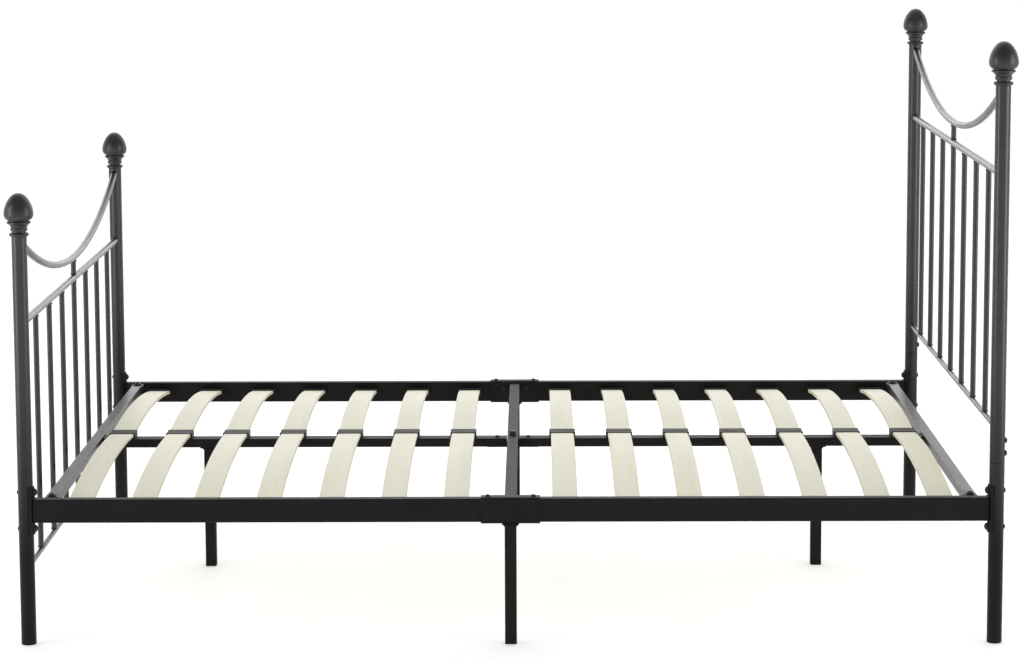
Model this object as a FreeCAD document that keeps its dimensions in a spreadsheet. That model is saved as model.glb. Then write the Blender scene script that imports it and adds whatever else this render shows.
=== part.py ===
import FreeCAD, Part
import math
import os
import re
import Sketcher

# A double bed frame of welded and bolted steel tube, for a 1400 x 2000 mattress.
# +X runs to the headboard, +Y to the left side, +Z up. The origin is on the floor, mid-bed.
# All sizes are in millimetres.

doc = FreeCAD.newDocument("metal_bed_frame")
sheet = doc.addObject("Spreadsheet::Sheet", "Sizes")

SIZES = {
    # Overall
    "bed_length": 2040,            # head post centre to foot post centre
    "bed_width": 1430,             # left post centre to right post centre
    "head_post_top": 1177,         # where the headboard finials sit
    "foot_post_top": 869,          # where the footboard finials sit
    # Round posts
    "post_diameter": 32,
    "post_wall": 1.5,
    "leg_joint_height": 386,       # the headboard lifts off its legs here
    "spigot_reach": 62,            # reduced leg end inside the upper post
    "spigot_fit": 0.2,
    "joint_screw_rise": 20,        # first screw above the joint
    "joint_screw_spacing": 27,
    # Arched swag and round rails of each end
    "swag_diameter": 16,
    "swag_drop": 8.5,              # below the post top at the post
    "swag_sag": 128.5,
    "swag_gap": 48,                # swag middle down to the top rail
    "top_rail_diameter": 16,
    "bottom_rail_diameter": 12,
    "head_bottom_rail_height": 456,
    "foot_bottom_rail_height": 163,
    "spindle_diameter": 12,
    "round_tube_wall": 1.2,
    # Side rails, saddles and joiner sleeves
    "rail_height": 50,
    "rail_width": 25,
    "rail_wall": 1.5,
    "rail_corner": 2,
    "rail_bottom": 263,
    "rail_gap": 1,                 # between the two halves, inside the sleeve
    "saddle_thickness": 3,
    "saddle_height": 102,
    "saddle_wrap": 65,             # degrees each way round the post
    "post_bolt_spacing": 78,
    "joiner_length": 124,
    "joiner_wall": 2.5,
    "joiner_fit": 0.5,
    "joiner_bolt_x": 48,
    # Crossbar, centre beam and cradle
    "crossbar_size": 25,
    "crossbar_wall": 1.5,
    "end_plate_length": 80,
    "end_plate_height": 30,
    "plate_thickness": 3,
    "end_plate_bolt_x": 28,
    "beam_width": 40,
    "beam_height": 20,
    "beam_wall": 1.5,
    "beam_gap": 1,                 # beam end to crossbar side
    "beam_drop": 8,                # beam's top below the side rail tops
    "cradle_length": 120,
    "cradle_width": 16,
    "beam_bolt_x": 36,
    # End rails
    "end_rail_width": 25,
    "end_rail_height": 20,
    "end_rail_inset": 51,          # post centre to end rail centre
    "end_tab_width": 30,
    "end_tab_length": 32,          # the flattened end, on its shelf
    "end_tab_root": 20,            # the part of the tab inside the tube
    "end_tab_gap": 1,              # tab end to side rail
    "end_tab_drop": 3,             # tab's top below the side rail tops
    "end_bolt_inset": 18,          # bolt to the side rail's inner face
    "shelf_flange": 24,            # the shelf's leg, welded on the side rail
    # Shoes that take the beam's ends
    "shoe_wall": 2.5,
    "shoe_length": 14.5,
    "shoe_peg_spacing": 24,
    "shoe_peg_drop": 12.75,        # pegs below the side rail tops
    # Legs
    "leg_size": 25,
    "leg_wall": 1.5,
    "beam_leg_x": 710,
    "leg_plate_length": 36,
    "beam_leg_plate_length": 41,
    "beam_leg_plate_width": 34,
    "beam_leg_stud": 12,           # threaded stud above the plate, inside the beam
    "foot_thickness": 4,
    "foot_plug": 20,
    "foot_fit": 0.3,
    "foot_wall": 2,
    # Slats and their holders
    "slat_width": 53,
    "slat_thickness": 8,
    "slat_centre_offset": 115.4,   # first slat from mid-bed
    "slat_end_gap": 57.4,          # last slat from the end rail centre
    "slat_inner_gap": 6,           # slat end from the bed's middle line
    "slat_outer_gap": 4.5,         # slat end from the side rail
    "slat_camber": 20,
    "slat_fit": 0.2,
    "cap_length": 59,
    "cap_depth": 44,
    "cap_floor": 3.7,              # under the slat's inner end
    "cap_cover": 3.3,              # over it
    "holder_length": 60,
    "holder_depth": 24,
    "holder_drop": 31,             # holder's underside below the side rail's top
    "holder_floor": 3.1,           # under the slat's outer end
    "holder_cover": 5.9,           # over it
    "peg_diameter": 8,
    "peg_length": 9,
    "peg_fit": 0.2,
    # Bolts
    "big_bolt": 8,
    "small_bolt": 6,
    "bolt_fit": 0.2,
    "post_head_diameter": 16,
    "post_head_height": 5.5,
    "button_diameter": 11,
    "button_height": 3,
    "screw_head_diameter": 13,
    "screw_head_height": 5,
    "washer_diameter": 18,
    "small_head_diameter": 11,
    "small_head_height": 4,
    "knob_height": 8,
    "washer_thickness": 2,
    "end_washer_diameter": 28,
    "end_washer_thickness": 1.5,
    "end_head_height": 6,
    # Turned finial, from the post top up
    "ring_overhang": 4.7,          # beyond the post
    "ring_height": 8,
    "groove_radius": 14,
    "groove_height": 3,
    "collar_radius": 18,
    "collar_edge_radius": 16.8,
    "collar_height": 8,
    "flare_radius": 25.2,
    "flare_height": 8.5,
    "flare_rim": 7,
    "egg_foot_radius": 24.3,
    "egg_radius": 30.9,
    "egg_rise": 12,                # egg foot to its widest place
    "egg_side_radius": 54,
    "egg_tip_angle": 44.5,         # degrees, where the tip's own curve starts
    "egg_foot_curve": 14.2,
    "finial_peg": 25,
    "finial_fit": 0.3,
}

SPINDLES = 7
SLATS_PER_HALF = 7
SIDES = {"left": 1, "right": -1}
ENDS = {"headboard": 1, "footboard": -1}

for row, (alias, size) in enumerate(SIZES.items(), start=1):
    sheet.set(f"A{row}", alias)
    sheet.set(f"B{row}", str(size))
    sheet.setAlias(f"B{row}", alias)
doc.recompute()

# Places that several pieces share, as formulas of the sizes above.
POST_RADIUS = "(post_diameter / 2)"
SADDLE_RADIUS = "(post_diameter / 2 + saddle_thickness)"
RAIL_TOP = "(rail_bottom + rail_height)"
RAIL_MIDDLE = "(rail_bottom + rail_height / 2)"
RAIL_INNER_Y = "(bed_width / 2 - rail_width / 2)"
JOINER_GROWTH = "(joiner_fit + joiner_wall)"
JOINER_INNER_Y = "(bed_width / 2 - rail_width / 2 - joiner_fit - joiner_wall)"
JOINER_BOTTOM = "(rail_bottom - joiner_fit - joiner_wall)"
JOINER_TOP = "(rail_bottom + rail_height + joiner_fit + joiner_wall)"
END_RAIL_X = "(bed_length / 2 - end_rail_inset)"
BEAM_TOP = f"({RAIL_TOP} - beam_drop)"
BEAM_BOTTOM = f"({BEAM_TOP} - beam_height)"
CROSSBAR_TOP = f"({BEAM_BOTTOM} + crossbar_size)"
CROSSBAR_MIDDLE = f"({BEAM_BOTTOM} + crossbar_size / 2)"
CRADLE_BOTTOM = f"({BEAM_BOTTOM} - plate_thickness)"
TAB_TOP = f"({RAIL_TOP} - end_tab_drop)"
SHELF_TOP = f"({TAB_TOP} - plate_thickness)"
END_BOLT_Y = f"({RAIL_INNER_Y} - end_bolt_inset)"
BEAM_START = "(crossbar_size / 2 + beam_gap)"
END_RAIL_FACE = f"({END_RAIL_X} - end_rail_width / 2)"
BEAM_END = f"({END_RAIL_FACE} - shoe_wall)"
SLAT_PITCH = f"(({END_RAIL_X} - slat_end_gap - slat_centre_offset) / {SLATS_PER_HALF - 1})"
SLAT_OUTER_Y = f"({RAIL_INNER_Y} - slat_outer_gap)"
SLAT_INNER_BOTTOM = f"({BEAM_TOP} + cap_floor)"
CAP_HEIGHT = "(cap_floor + slat_thickness + cap_cover)"
HOLDER_BOTTOM = f"({RAIL_TOP} - holder_drop)"
HOLDER_HEIGHT = "(holder_floor + slat_thickness + holder_cover)"
SLAT_OUTER_BOTTOM = f"({HOLDER_BOTTOM} + holder_floor)"
SWAG_RADIUS = "(((bed_width / 2) ^ 2 + swag_sag ^ 2) / (2 * swag_sag))"


def formula(text):
    """Write the sizes named in a formula as cells of the sheet."""
    def cell(word):
        return "Sizes." + word.group() if word.group() in SIZES else word.group()
    return re.sub(r"[A-Za-z_]\w*", cell, str(text))


def number(text):
    """The present value of a formula."""
    return float(sheet.evalExpression(formula(text)))


def bind(thing, sizes, at=()):
    """Tie an object's properties, and its place, to formulas."""
    for name, text in sizes.items():
        thing.setExpression(name, formula(text))
    for axis, text in zip("xyz", at):
        thing.setExpression("Placement.Base." + axis, formula(text))
    return thing


# Rotations that lay a primitive's own Z axis along each axis of the bed.
ALONG = {
    "x": FreeCAD.Rotation(FreeCAD.Vector(0, 1, 0), 90),
    "y": FreeCAD.Rotation(FreeCAD.Vector(1, 0, 0), -90),
    "z": FreeCAD.Rotation(),
}


def add(kind, name, sizes, at, axis="z"):
    """A Part primitive with its sizes and place tied to the sheet."""
    piece = doc.addObject("Part::" + kind, name)
    piece.Placement = FreeCAD.Placement(FreeCAD.Vector(), ALONG[axis])
    return bind(piece, sizes, at)


def block(name, size, at):
    """A box of size (x, y, z) whose underside is centred on the point at."""
    length, width, height = size
    corner = (f"{at[0]} - ({length}) / 2", f"{at[1]} - ({width}) / 2", at[2])
    return add("Box", name, {"Length": length, "Width": width, "Height": height}, corner)


def rod(name, diameter, length, at, axis="z"):
    """A round bar that starts at a point and runs along one axis."""
    return add("Cylinder", name, {"Radius": f"({diameter}) / 2", "Height": length}, at, axis)


def cut(name, base, *tools):
    """Take every tool away from the base."""
    result = doc.addObject("Part::Cut", name)
    result.Base = base
    result.Tool = tools[0] if len(tools) == 1 else group(name + "_tools", tools)
    return result


def fuse(name, *pieces):
    """Weld pieces into one."""
    result = doc.addObject("Part::MultiFuse", name)
    result.Shapes = list(pieces)
    return result


def group(name, pieces):
    """Keep pieces together as separate solids."""
    result = doc.addObject("Part::Compound", name)
    result.Links = list(pieces)
    return result


def mirrored(name, piece, normal):
    """The piece on the other side of the bed's middle."""
    result = doc.addObject("Part::Mirroring", name)
    result.Source = piece
    result.Normal = FreeCAD.Vector(*normal)
    return result


def round_tube(name, diameter, wall, length, at, axis="z"):
    """A round tube that starts at a point and runs along one axis."""
    outer = rod(name + "_outside", diameter, length, at, axis)
    inner = rod(name + "_bore", f"{diameter} - 2 * {wall}", length, at, axis)
    return cut(name, outer, inner)


def sketch_in(body, role, name):
    """A sketch on one of the body's own origin planes."""
    plane = next(item for item in body.Origin.OriginFeatures if item.Role == role)
    sketch = body.newObject("Sketcher::SketchObject", name)
    sketch.AttachmentSupport = [(plane, "")]
    sketch.MapMode = "FlatFace"
    return sketch


def pin(sketch, edge, point, where):
    """Tie a sketch point to its two formulas."""
    for kind, axis, text in (("DistanceX", -2, where[0]), ("DistanceY", -1, where[1])):
        if str(text) == "0":
            sketch.addConstraint(Sketcher.Constraint("PointOnObject", edge, point, axis))
        else:
            place = sketch.addConstraint(Sketcher.Constraint(kind, -1, 1, edge, point, number(text)))
            sketch.setExpression(f"Constraints[{place}]", formula(text))


def arc_middle(start, end, radius):
    """A point on the arc of a signed radius: a positive one bulges to the right of its chord."""
    chord = end - start
    side = FreeCAD.Vector(chord.y, -chord.x, 0).normalize() * math.copysign(1, radius)
    rise = abs(radius) - math.sqrt(radius ** 2 - (chord.Length / 2) ** 2)
    return (start + end) * 0.5 + side * rise


def outline(sketch, corners):
    """Draw a closed outline. A corner is (x, y) or (x, y, radius of the arc to the next corner)."""
    points = [FreeCAD.Vector(number(corner[0]), number(corner[1]), 0) for corner in corners]
    first = sketch.GeometryCount
    for index, corner in enumerate(corners):
        start = points[index]
        end = points[(index + 1) % len(points)]
        if len(corner) == 3:
            radius = number(corner[2])
            middle = arc_middle(start, end, radius)
            # A sketch keeps every arc counter-clockwise, so one that bulges left is drawn from its end.
            ends = (1, 2) if radius > 0 else (2, 1)
            tips = (start, end) if radius > 0 else (end, start)
            edge = sketch.addGeometry(Part.Arc(tips[0], middle, tips[1]))
            limit = sketch.addConstraint(Sketcher.Constraint("Radius", edge, abs(radius)))
            sketch.setExpression(f"Constraints[{limit}]", formula(f"abs({corner[2]})"))
        else:
            edge = sketch.addGeometry(Part.LineSegment(start, end))
            ends = (1, 2)
        pin(sketch, edge, ends[0], corner)
        if index:
            sketch.addConstraint(Sketcher.Constraint("Coincident", edge - 1, last_end, edge, ends[0]))
        else:
            first_start = ends[0]
        last_end = ends[1]
    sketch.addConstraint(Sketcher.Constraint("Coincident", edge, last_end, first, first_start))


def rounded_rectangle(width, height, corner):
    """The corners of a rectangle about the origin with its corners rounded."""
    across = f"({width}) / 2"
    up = f"({height}) / 2"
    return [
        (f"{across} - {corner}", f"-{up}", corner),
        (across, f"{corner} - {up}"),
        (across, f"{up} - {corner}", corner),
        (f"{across} - {corner}", up),
        (f"{corner} - {across}", up, corner),
        (f"-{across}", f"{up} - {corner}"),
        (f"-{across}", f"{corner} - {up}", corner),
        (f"{corner} - {across}", f"-{up}"),
    ]


def rectangle(width, height):
    """The corners of a rectangle about the origin."""
    across = f"({width}) / 2"
    up = f"({height}) / 2"
    return [(across, f"-{up}"), (across, up), (f"-{across}", up), (f"-{across}", f"-{up}")]


SKETCH_PLANE = {"x": "YZ_Plane", "y": "XZ_Plane", "z": "XY_Plane"}


def box_tube(name, axis, section, wall, corner, length, middle):
    """A square or oblong tube, rounded outside, along one axis about its middle point."""
    body = doc.addObject("PartDesign::Body", name)
    sketch = sketch_in(body, SKETCH_PLANE[axis], name + "_section")
    outline(sketch, rounded_rectangle(section[0], section[1], corner))
    outline(sketch, rectangle(f"{section[0]} - 2 * {wall}", f"{section[1]} - 2 * {wall}"))
    pad = body.newObject("PartDesign::Pad", name + "_length")
    pad.Profile = sketch
    pad.SideType = "Symmetric"
    pad.setExpression("Length", formula(length))
    return bind(body, {}, middle)


nodes = {}


def keep(node, piece):
    """Name a finished sub-part."""
    piece.Label = node
    nodes[node] = piece
    return piece


# ---------------------------------------------------------------- posts, legs and finials

def post_bolt_heights():
    """The two bolts through each post and its rail's saddle."""
    return [f"({RAIL_MIDDLE} {sign} post_bolt_spacing / 2)" for sign in "-+"]


def joint_screw_heights():
    """The two screws that hold each upper post to its leg."""
    return ["(leg_joint_height + joint_screw_rise)",
            "(leg_joint_height + joint_screw_rise + joint_screw_spacing)"]


def post_bolt_holes(name, x, y):
    """Clearance holes right through a post and saddle, along the bed."""
    holes = []
    for index, height in enumerate(post_bolt_heights()):
        start = (f"{x} - {SADDLE_RADIUS} - 1", y, height)
        length = f"2 * {SADDLE_RADIUS} + 2"
        holes.append(rod(f"{name}_{index}", "big_bolt + 2 * bolt_fit", length, start, "x"))
    return group(name, holes)


def joint_screw_holes(name, x, y):
    """Clearance holes through the outer wall of the joint only."""
    return group(name, [
        rod(f"{name}_{index}", "small_bolt + 2 * bolt_fit", f"{POST_RADIUS} + 1", (x, y, height), "x")
        for index, height in enumerate(joint_screw_heights())])


def make_foot_posts():
    x = "-bed_length / 2"
    for side, sign in SIDES.items():
        name = f"footboard_post_{side}"
        y = f"{sign} * bed_width / 2"
        pipe = round_tube(name + "_pipe", "post_diameter", "post_wall",
                          "foot_post_top - foot_thickness", (x, y, "foot_thickness"))
        keep(name, cut(name, pipe, post_bolt_holes(name + "_holes", x, y)))


def make_head_posts():
    x = "bed_length / 2"
    for side, sign in SIDES.items():
        name = f"headboard_post_{side}"
        y = f"{sign} * bed_width / 2"
        pipe = round_tube(name + "_pipe", "post_diameter", "post_wall",
                          "head_post_top - leg_joint_height", (x, y, "leg_joint_height"))
        keep(name, cut(name, pipe, joint_screw_holes(name + "_holes", x, y)))


def make_head_legs():
    x = "bed_length / 2"
    spigot = "(post_diameter - 2 * post_wall - 2 * spigot_fit)"
    shoulder = "(4 * post_wall)"
    for side, sign in SIDES.items():
        name = f"headboard_leg_{side}"
        y = f"{sign} * bed_width / 2"
        pipe = round_tube(name + "_pipe", "post_diameter", "post_wall",
                          "leg_joint_height - foot_thickness", (x, y, "foot_thickness"))
        collar = cut(name + "_shoulder",
                     rod(name + "_shoulder_outside", "post_diameter - post_wall", shoulder,
                         (x, y, f"leg_joint_height - {shoulder}")),
                     rod(name + "_shoulder_bore", f"{spigot} - 2 * post_wall", shoulder,
                         (x, y, f"leg_joint_height - {shoulder}")))
        end = round_tube(name + "_spigot", spigot, "post_wall", f"spigot_reach + {shoulder}",
                         (x, y, f"leg_joint_height - {shoulder}"))
        leg = fuse(name + "_welded", pipe, collar, end)
        keep(name, cut(name, leg, post_bolt_holes(name + "_bolt_holes", x, y),
                       joint_screw_holes(name + "_screw_holes", x, y)))


def finial_outline():
    """Half of the turned finial's section, from the peg inside the post to the egg's tip."""
    peg = "(post_diameter / 2 - post_wall - finial_fit)"
    # The rims of ring and collar are shallow arcs, a little flatter than half circles.
    ring_curve = "(ring_height / 2 * 1.02)"
    ring_edge = "(post_diameter / 2 + ring_overhang - ring_height / 2)"
    groove_top = "(ring_height + groove_height)"
    collar_top = f"({groove_top} + collar_height)"
    flare_top = f"({collar_top} + flare_height)"
    foot = f"({flare_top} + flare_rim)"
    widest = f"({foot} + egg_rise)"
    side_centre = "(egg_radius - egg_side_radius)"
    tip_x = f"({side_centre} + egg_side_radius * cos(egg_tip_angle * 1 deg))"
    tip_z = f"({widest} + egg_side_radius * sin(egg_tip_angle * 1 deg))"
    tip_curve = f"(egg_side_radius + {side_centre} / cos(egg_tip_angle * 1 deg))"
    top = f"({widest} - {side_centre} * tan(egg_tip_angle * 1 deg) + {tip_curve})"
    collar_curve = "((collar_height / 2) ^ 2 + (collar_radius - collar_edge_radius) ^ 2)" \
                   " / (2 * (collar_radius - collar_edge_radius))"
    return [
        ("0", "-finial_peg"),
        (peg, "-finial_peg"),
        (peg, "0"),
        (ring_edge, "0", ring_curve),
        (ring_edge, "ring_height"),
        ("groove_radius", "ring_height"),
        ("groove_radius", groove_top),
        ("collar_edge_radius", groove_top, collar_curve),
        ("collar_edge_radius", collar_top),
        ("flare_radius", flare_top),
        ("flare_radius", f"{foot} - flare_rim / 2"),
        ("egg_foot_radius - 2", foot),
        ("egg_foot_radius", foot, "egg_foot_curve"),
        ("egg_radius", widest, "egg_side_radius"),
        (tip_x, tip_z, tip_curve),
        ("0", top),
    ]


def make_finials():
    for end, along in ENDS.items():
        for side, across in SIDES.items():
            name = f"{end}_finial_{side}"
            body = doc.addObject("PartDesign::Body", name)
            sketch = sketch_in(body, "XZ_Plane", name + "_outline")
            outline(sketch, finial_outline())
            turned = body.newObject("PartDesign::Revolution", name + "_turning")
            turned.Profile = sketch
            turned.ReferenceAxis = (sketch, ["V_Axis"])
            turned.Angle = 360
            top = "head_post_top" if end == "headboard" else "foot_post_top"
            keep(name, bind(body, {}, (f"{along} * bed_length / 2", f"{across} * bed_width / 2", top)))


def make_post_caps():
    caps = []
    for end, along in ENDS.items():
        for side, across in SIDES.items():
            name = f"post_cap_{end}_{side}"
            x = f"{along} * bed_length / 2"
            y = f"{across} * bed_width / 2"
            disc = rod(name + "_disc", "post_diameter", "foot_thickness", (x, y, "0"))
            plug = round_tube(name + "_plug", "(post_diameter - 2 * post_wall - 2 * foot_fit)",
                              "foot_wall", "foot_plug + foot_thickness / 2", (x, y, "foot_thickness / 2"))
            caps.append(fuse(name, disc, plug))
    keep("post_foot_caps", group("post_foot_caps", caps))


# ---------------------------------------------------------------- headboard and footboard tubes

def swag_arc(name, diameter, x, lowest):
    """A solid bar on the swag's arc: a circle swept about an axis high above the bed's middle."""
    body = doc.addObject("PartDesign::Body", name)
    sketch = sketch_in(body, "XZ_Plane", name + "_section")
    depth = -number(SWAG_RADIUS)
    radius = number(diameter) / 2
    circle = sketch.addGeometry(Part.Circle(FreeCAD.Vector(0, depth, 0), FreeCAD.Vector(0, 0, 1), radius))
    sketch.addConstraint(Sketcher.Constraint("PointOnObject", circle, 3, -2))
    drop = sketch.addConstraint(Sketcher.Constraint("DistanceY", -1, 1, circle, 3, depth))
    sketch.setExpression(f"Constraints[{drop}]", formula(f"-{SWAG_RADIUS}"))
    width = sketch.addConstraint(Sketcher.Constraint("Radius", circle, radius))
    sketch.setExpression(f"Constraints[{width}]", formula(f"({diameter}) / 2"))
    bend = body.newObject("PartDesign::Revolution", name + "_bend")
    bend.Profile = sketch
    bend.ReferenceAxis = (sketch, ["H_Axis"])
    bend.Midplane = True
    bend.setExpression("Angle", formula(f"2 * asin((bed_width / 2) / {SWAG_RADIUS}) / 1 deg"))
    return bind(body, {}, (x, "0", f"{lowest} + {SWAG_RADIUS}"))


def post_envelopes(name, x):
    """Solid bars where an end's two posts stand, to shape tube ends to."""
    return [rod(f"{name}_{side}", "post_diameter", "head_post_top + egg_side_radius",
                (x, f"{sign} * bed_width / 2", "0")) for side, sign in SIDES.items()]


def make_end_frame(end, along):
    """The swag, rails, stub and spindles welded between one end's posts."""
    x = f"{along} * bed_length / 2"
    post_top = "head_post_top" if end == "headboard" else "foot_post_top"
    low_rail = "head_bottom_rail_height" if end == "headboard" else "foot_bottom_rail_height"
    swag_low = f"({post_top} - swag_drop - swag_sag)"
    top_rail = f"({swag_low} - swag_gap)"
    start_y = "-bed_width / 2"

    swag_solid = swag_arc(f"{end}_swag_bar", "swag_diameter", x, swag_low)
    swag_bore = swag_arc(f"{end}_swag_bore", "swag_diameter - 2 * round_tube_wall", x, swag_low)
    keep(f"{end}_swag", cut(f"{end}_swag", swag_solid, swag_bore,
                            *post_envelopes(f"{end}_swag_posts", x)))

    for rail, diameter, height in (("top_rail", "top_rail_diameter", top_rail),
                                   ("bottom_rail", "bottom_rail_diameter", low_rail)):
        pipe = round_tube(f"{end}_{rail}_pipe", diameter, "round_tube_wall", "bed_width",
                          (x, start_y, height), "y")
        keep(f"{end}_{rail}", cut(f"{end}_{rail}", pipe, *post_envelopes(f"{end}_{rail}_posts", x)))

    rail_bars = [rod(f"{end}_top_rail_bar", "top_rail_diameter", "bed_width", (x, start_y, top_rail), "y"),
                 rod(f"{end}_bottom_rail_bar", "bottom_rail_diameter", "bed_width",
                     (x, start_y, low_rail), "y")]
    spindles = []
    for index in range(1, SPINDLES + 1):
        y = f"bed_width * ({index} / {SPINDLES + 1} - 0.5)"
        name = f"{end}_spindle_{index}"
        pipe = round_tube(name + "_pipe", "spindle_diameter", "round_tube_wall",
                          f"{top_rail} - {low_rail}", (x, y, low_rail))
        spindles.append(cut(name, pipe, *rail_bars))
    keep(f"{end}_spindles", group(f"{end}_spindles", spindles))

    stub = round_tube(f"{end}_stub_pipe", "spindle_diameter", "round_tube_wall", "swag_gap",
                      (x, "0", top_rail))
    keep(f"{end}_stub", cut(f"{end}_stub", stub, rail_bars[0], swag_solid))


# ---------------------------------------------------------------- side rails and joiners

def slat_x(half, index):
    """The middle of a slat: half is +1 at the head, index counts out from mid-bed."""
    return f"{half} * (slat_centre_offset + {index} * {SLAT_PITCH})"


def holder_holes(name, half, side):
    """Peg holes for the slat holders, through the inner wall of a side rail."""
    start = f"{side} * {RAIL_INNER_Y} - peg_length"
    return group(name, [
        rod(f"{name}_{index}", "peg_diameter + 2 * peg_fit", "2 * peg_length",
            (slat_x(half, index), start, f"{HOLDER_BOTTOM} + {HOLDER_HEIGHT} / 2"), "y")
        for index in range(SLATS_PER_HALF)])


def joiner_bolt_hole(name, x, y):
    """A clearance hole down through the sleeve's and the rail's top walls."""
    return rod(name, "small_bolt + 2 * bolt_fit", f"rail_height / 2 + 2 * {JOINER_GROWTH}",
               (x, y, RAIL_MIDDLE))


def end_plate_hole(name, x, side):
    """A clearance hole through plate, sleeve and the rail's inner wall."""
    start = f"{side} * {JOINER_INNER_Y} - rail_width / 2"
    return rod(name, "small_bolt + 2 * bolt_fit", "rail_width", (x, start, CROSSBAR_MIDDLE), "y")


def end_bolt_hole(name, x, across):
    """A clearance hole down through an end rail's tab and the shelf under it."""
    return rod(name, "big_bolt + 2 * bolt_fit", "6 * plate_thickness",
               (x, f"{across} * {END_BOLT_Y}", f"{SHELF_TOP} - 3 * plate_thickness"))


def shelf(name, x, across):
    """An angle on a side rail's inner face, which an end rail's tab lies on."""
    reach = "(end_tab_gap + end_tab_length)"
    flat = block(name + "_flat", ("end_tab_width", reach, "plate_thickness"),
                 (x, f"{across} * ({RAIL_INNER_Y} - {reach} / 2)", f"{SHELF_TOP} - plate_thickness"))
    flange = block(name + "_flange", ("end_tab_width", "plate_thickness", "shelf_flange"),
                   (x, f"{across} * ({RAIL_INNER_Y} - plate_thickness / 2)",
                    f"{SHELF_TOP} - shelf_flange"))
    return fuse(name, flat, flange)


def make_side_rails():
    for end, along in ENDS.items():
        for side, across in SIDES.items():
            name = f"side_rail_{end}_{side}"
            post_x = f"{along} * bed_length / 2"
            y = f"{across} * bed_width / 2"
            length = "(bed_length / 2 - rail_gap / 2)"
            pipe = box_tube(name + "_pipe", "x", ("rail_width", "rail_height"), "rail_wall",
                            "rail_corner", length,
                            (f"{along} * (rail_gap / 2 + {length} / 2)", y, RAIL_MIDDLE))
            shoulder = rod(name + "_saddle_bar", f"2 * {SADDLE_RADIUS}", "2 * saddle_height",
                           (post_x, y, f"{RAIL_MIDDLE} - saddle_height"))
            plate = rod(name + "_saddle_plate", f"2 * {SADDLE_RADIUS}", "saddle_height",
                        (post_x, y, f"{RAIL_MIDDLE} - saddle_height / 2"))
            turn = "180 - saddle_wrap" if along > 0 else "-saddle_wrap"
            bind(plate, {"Angle": "2 * saddle_wrap", "Placement.Rotation.Angle": turn})
            post_bar = rod(name + "_post_bar", "post_diameter", "2 * saddle_height",
                           (post_x, y, f"{RAIL_MIDDLE} - saddle_height"))
            end_x = f"{along} * {END_RAIL_X}"
            welded = fuse(name + "_welded", cut(name + "_coped", pipe, shoulder),
                          cut(name + "_saddle", plate, post_bar), shelf(name + "_shelf", end_x, across))
            keep(name, cut(name, welded,
                           post_bolt_holes(name + "_bolt_holes", post_x, y),
                           holder_holes(name + "_peg_holes", along, across),
                           joiner_bolt_hole(name + "_top_hole", f"{along} * joiner_bolt_x", y),
                           end_plate_hole(name + "_side_hole", f"{along} * end_plate_bolt_x", across),
                           end_bolt_hole(name + "_shelf_hole", end_x, across)))


def make_joiners():
    for side, across in SIDES.items():
        name = f"rail_joiner_{side}"
        y = f"{across} * bed_width / 2"
        section = (f"(rail_width + 2 * {JOINER_GROWTH})", f"(rail_height + 2 * {JOINER_GROWTH})")
        sleeve = box_tube(name + "_sleeve", "x", section, "joiner_wall", "(rail_corner + joiner_wall)",
                          "joiner_length", ("0", y, RAIL_MIDDLE))
        holes = []
        for end, along in ENDS.items():
            holes.append(joiner_bolt_hole(f"{name}_top_hole_{end}", f"{along} * joiner_bolt_x", y))
            holes.append(end_plate_hole(f"{name}_side_hole_{end}",
                                        f"{along} * end_plate_bolt_x", across))
        keep(name, cut(name, sleeve, *holes))


# ---------------------------------------------------------------- crossbar, beam, end rails

def upright_hole(name, diameter, x, y="0"):
    """A clearance hole down through everything at the bed's middle."""
    return rod(name, f"{diameter} + 2 * bolt_fit", "4 * beam_width", (x, y, f"{BEAM_TOP} - 2 * beam_width"))


def make_crossbar():
    plate_y = f"({JOINER_INNER_Y} - plate_thickness / 2)"
    bar = box_tube("crossbar_bar", "y", ("crossbar_size", "crossbar_size"), "crossbar_wall",
                   "rail_corner", f"2 * ({JOINER_INNER_Y} - plate_thickness)",
                   ("0", "0", CROSSBAR_MIDDLE))
    plates = []
    holes = [upright_hole("crossbar_middle_hole", "big_bolt", "0")]
    for side, across in SIDES.items():
        plates.append(block(f"crossbar_plate_{side}",
                            ("end_plate_length", "plate_thickness", "end_plate_height"),
                            ("0", f"{across} * {plate_y}", f"{CROSSBAR_MIDDLE} - end_plate_height / 2")))
        for end, along in ENDS.items():
            holes.append(end_plate_hole(f"crossbar_plate_hole_{side}_{end}",
                                        f"{along} * end_plate_bolt_x", across))
    keep("crossbar", cut("crossbar", fuse("crossbar_welded", bar, *plates), *holes))


def make_beams():
    length = f"({BEAM_END} - {BEAM_START})"
    for end, along in ENDS.items():
        name = f"centre_beam_{end}"
        bar = box_tube(name + "_bar", "x", ("beam_width", "beam_height"), "beam_wall", "rail_corner",
                       length, (f"{along} * ({BEAM_START} + {length} / 2)", "0",
                                f"{BEAM_BOTTOM} + beam_height / 2"))
        pegs = [rod(f"{name}_peg_hole_{index}", "peg_diameter + 2 * peg_fit", "beam_height",
                    (slat_x(along, index), "0", f"{BEAM_TOP} - beam_height / 2"))
                for index in range(SLATS_PER_HALF)]
        stud_hole = rod(name + "_stud_hole", "big_bolt + 2 * bolt_fit", "beam_height",
                        (f"{along} * beam_leg_x", "0", f"{BEAM_BOTTOM} - beam_height / 2"))
        bolt = upright_hole(name + "_bolt_hole", "small_bolt", f"{along} * beam_bolt_x")
        keep(name, cut(name, bar, bolt, stud_hole, *pegs))


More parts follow.
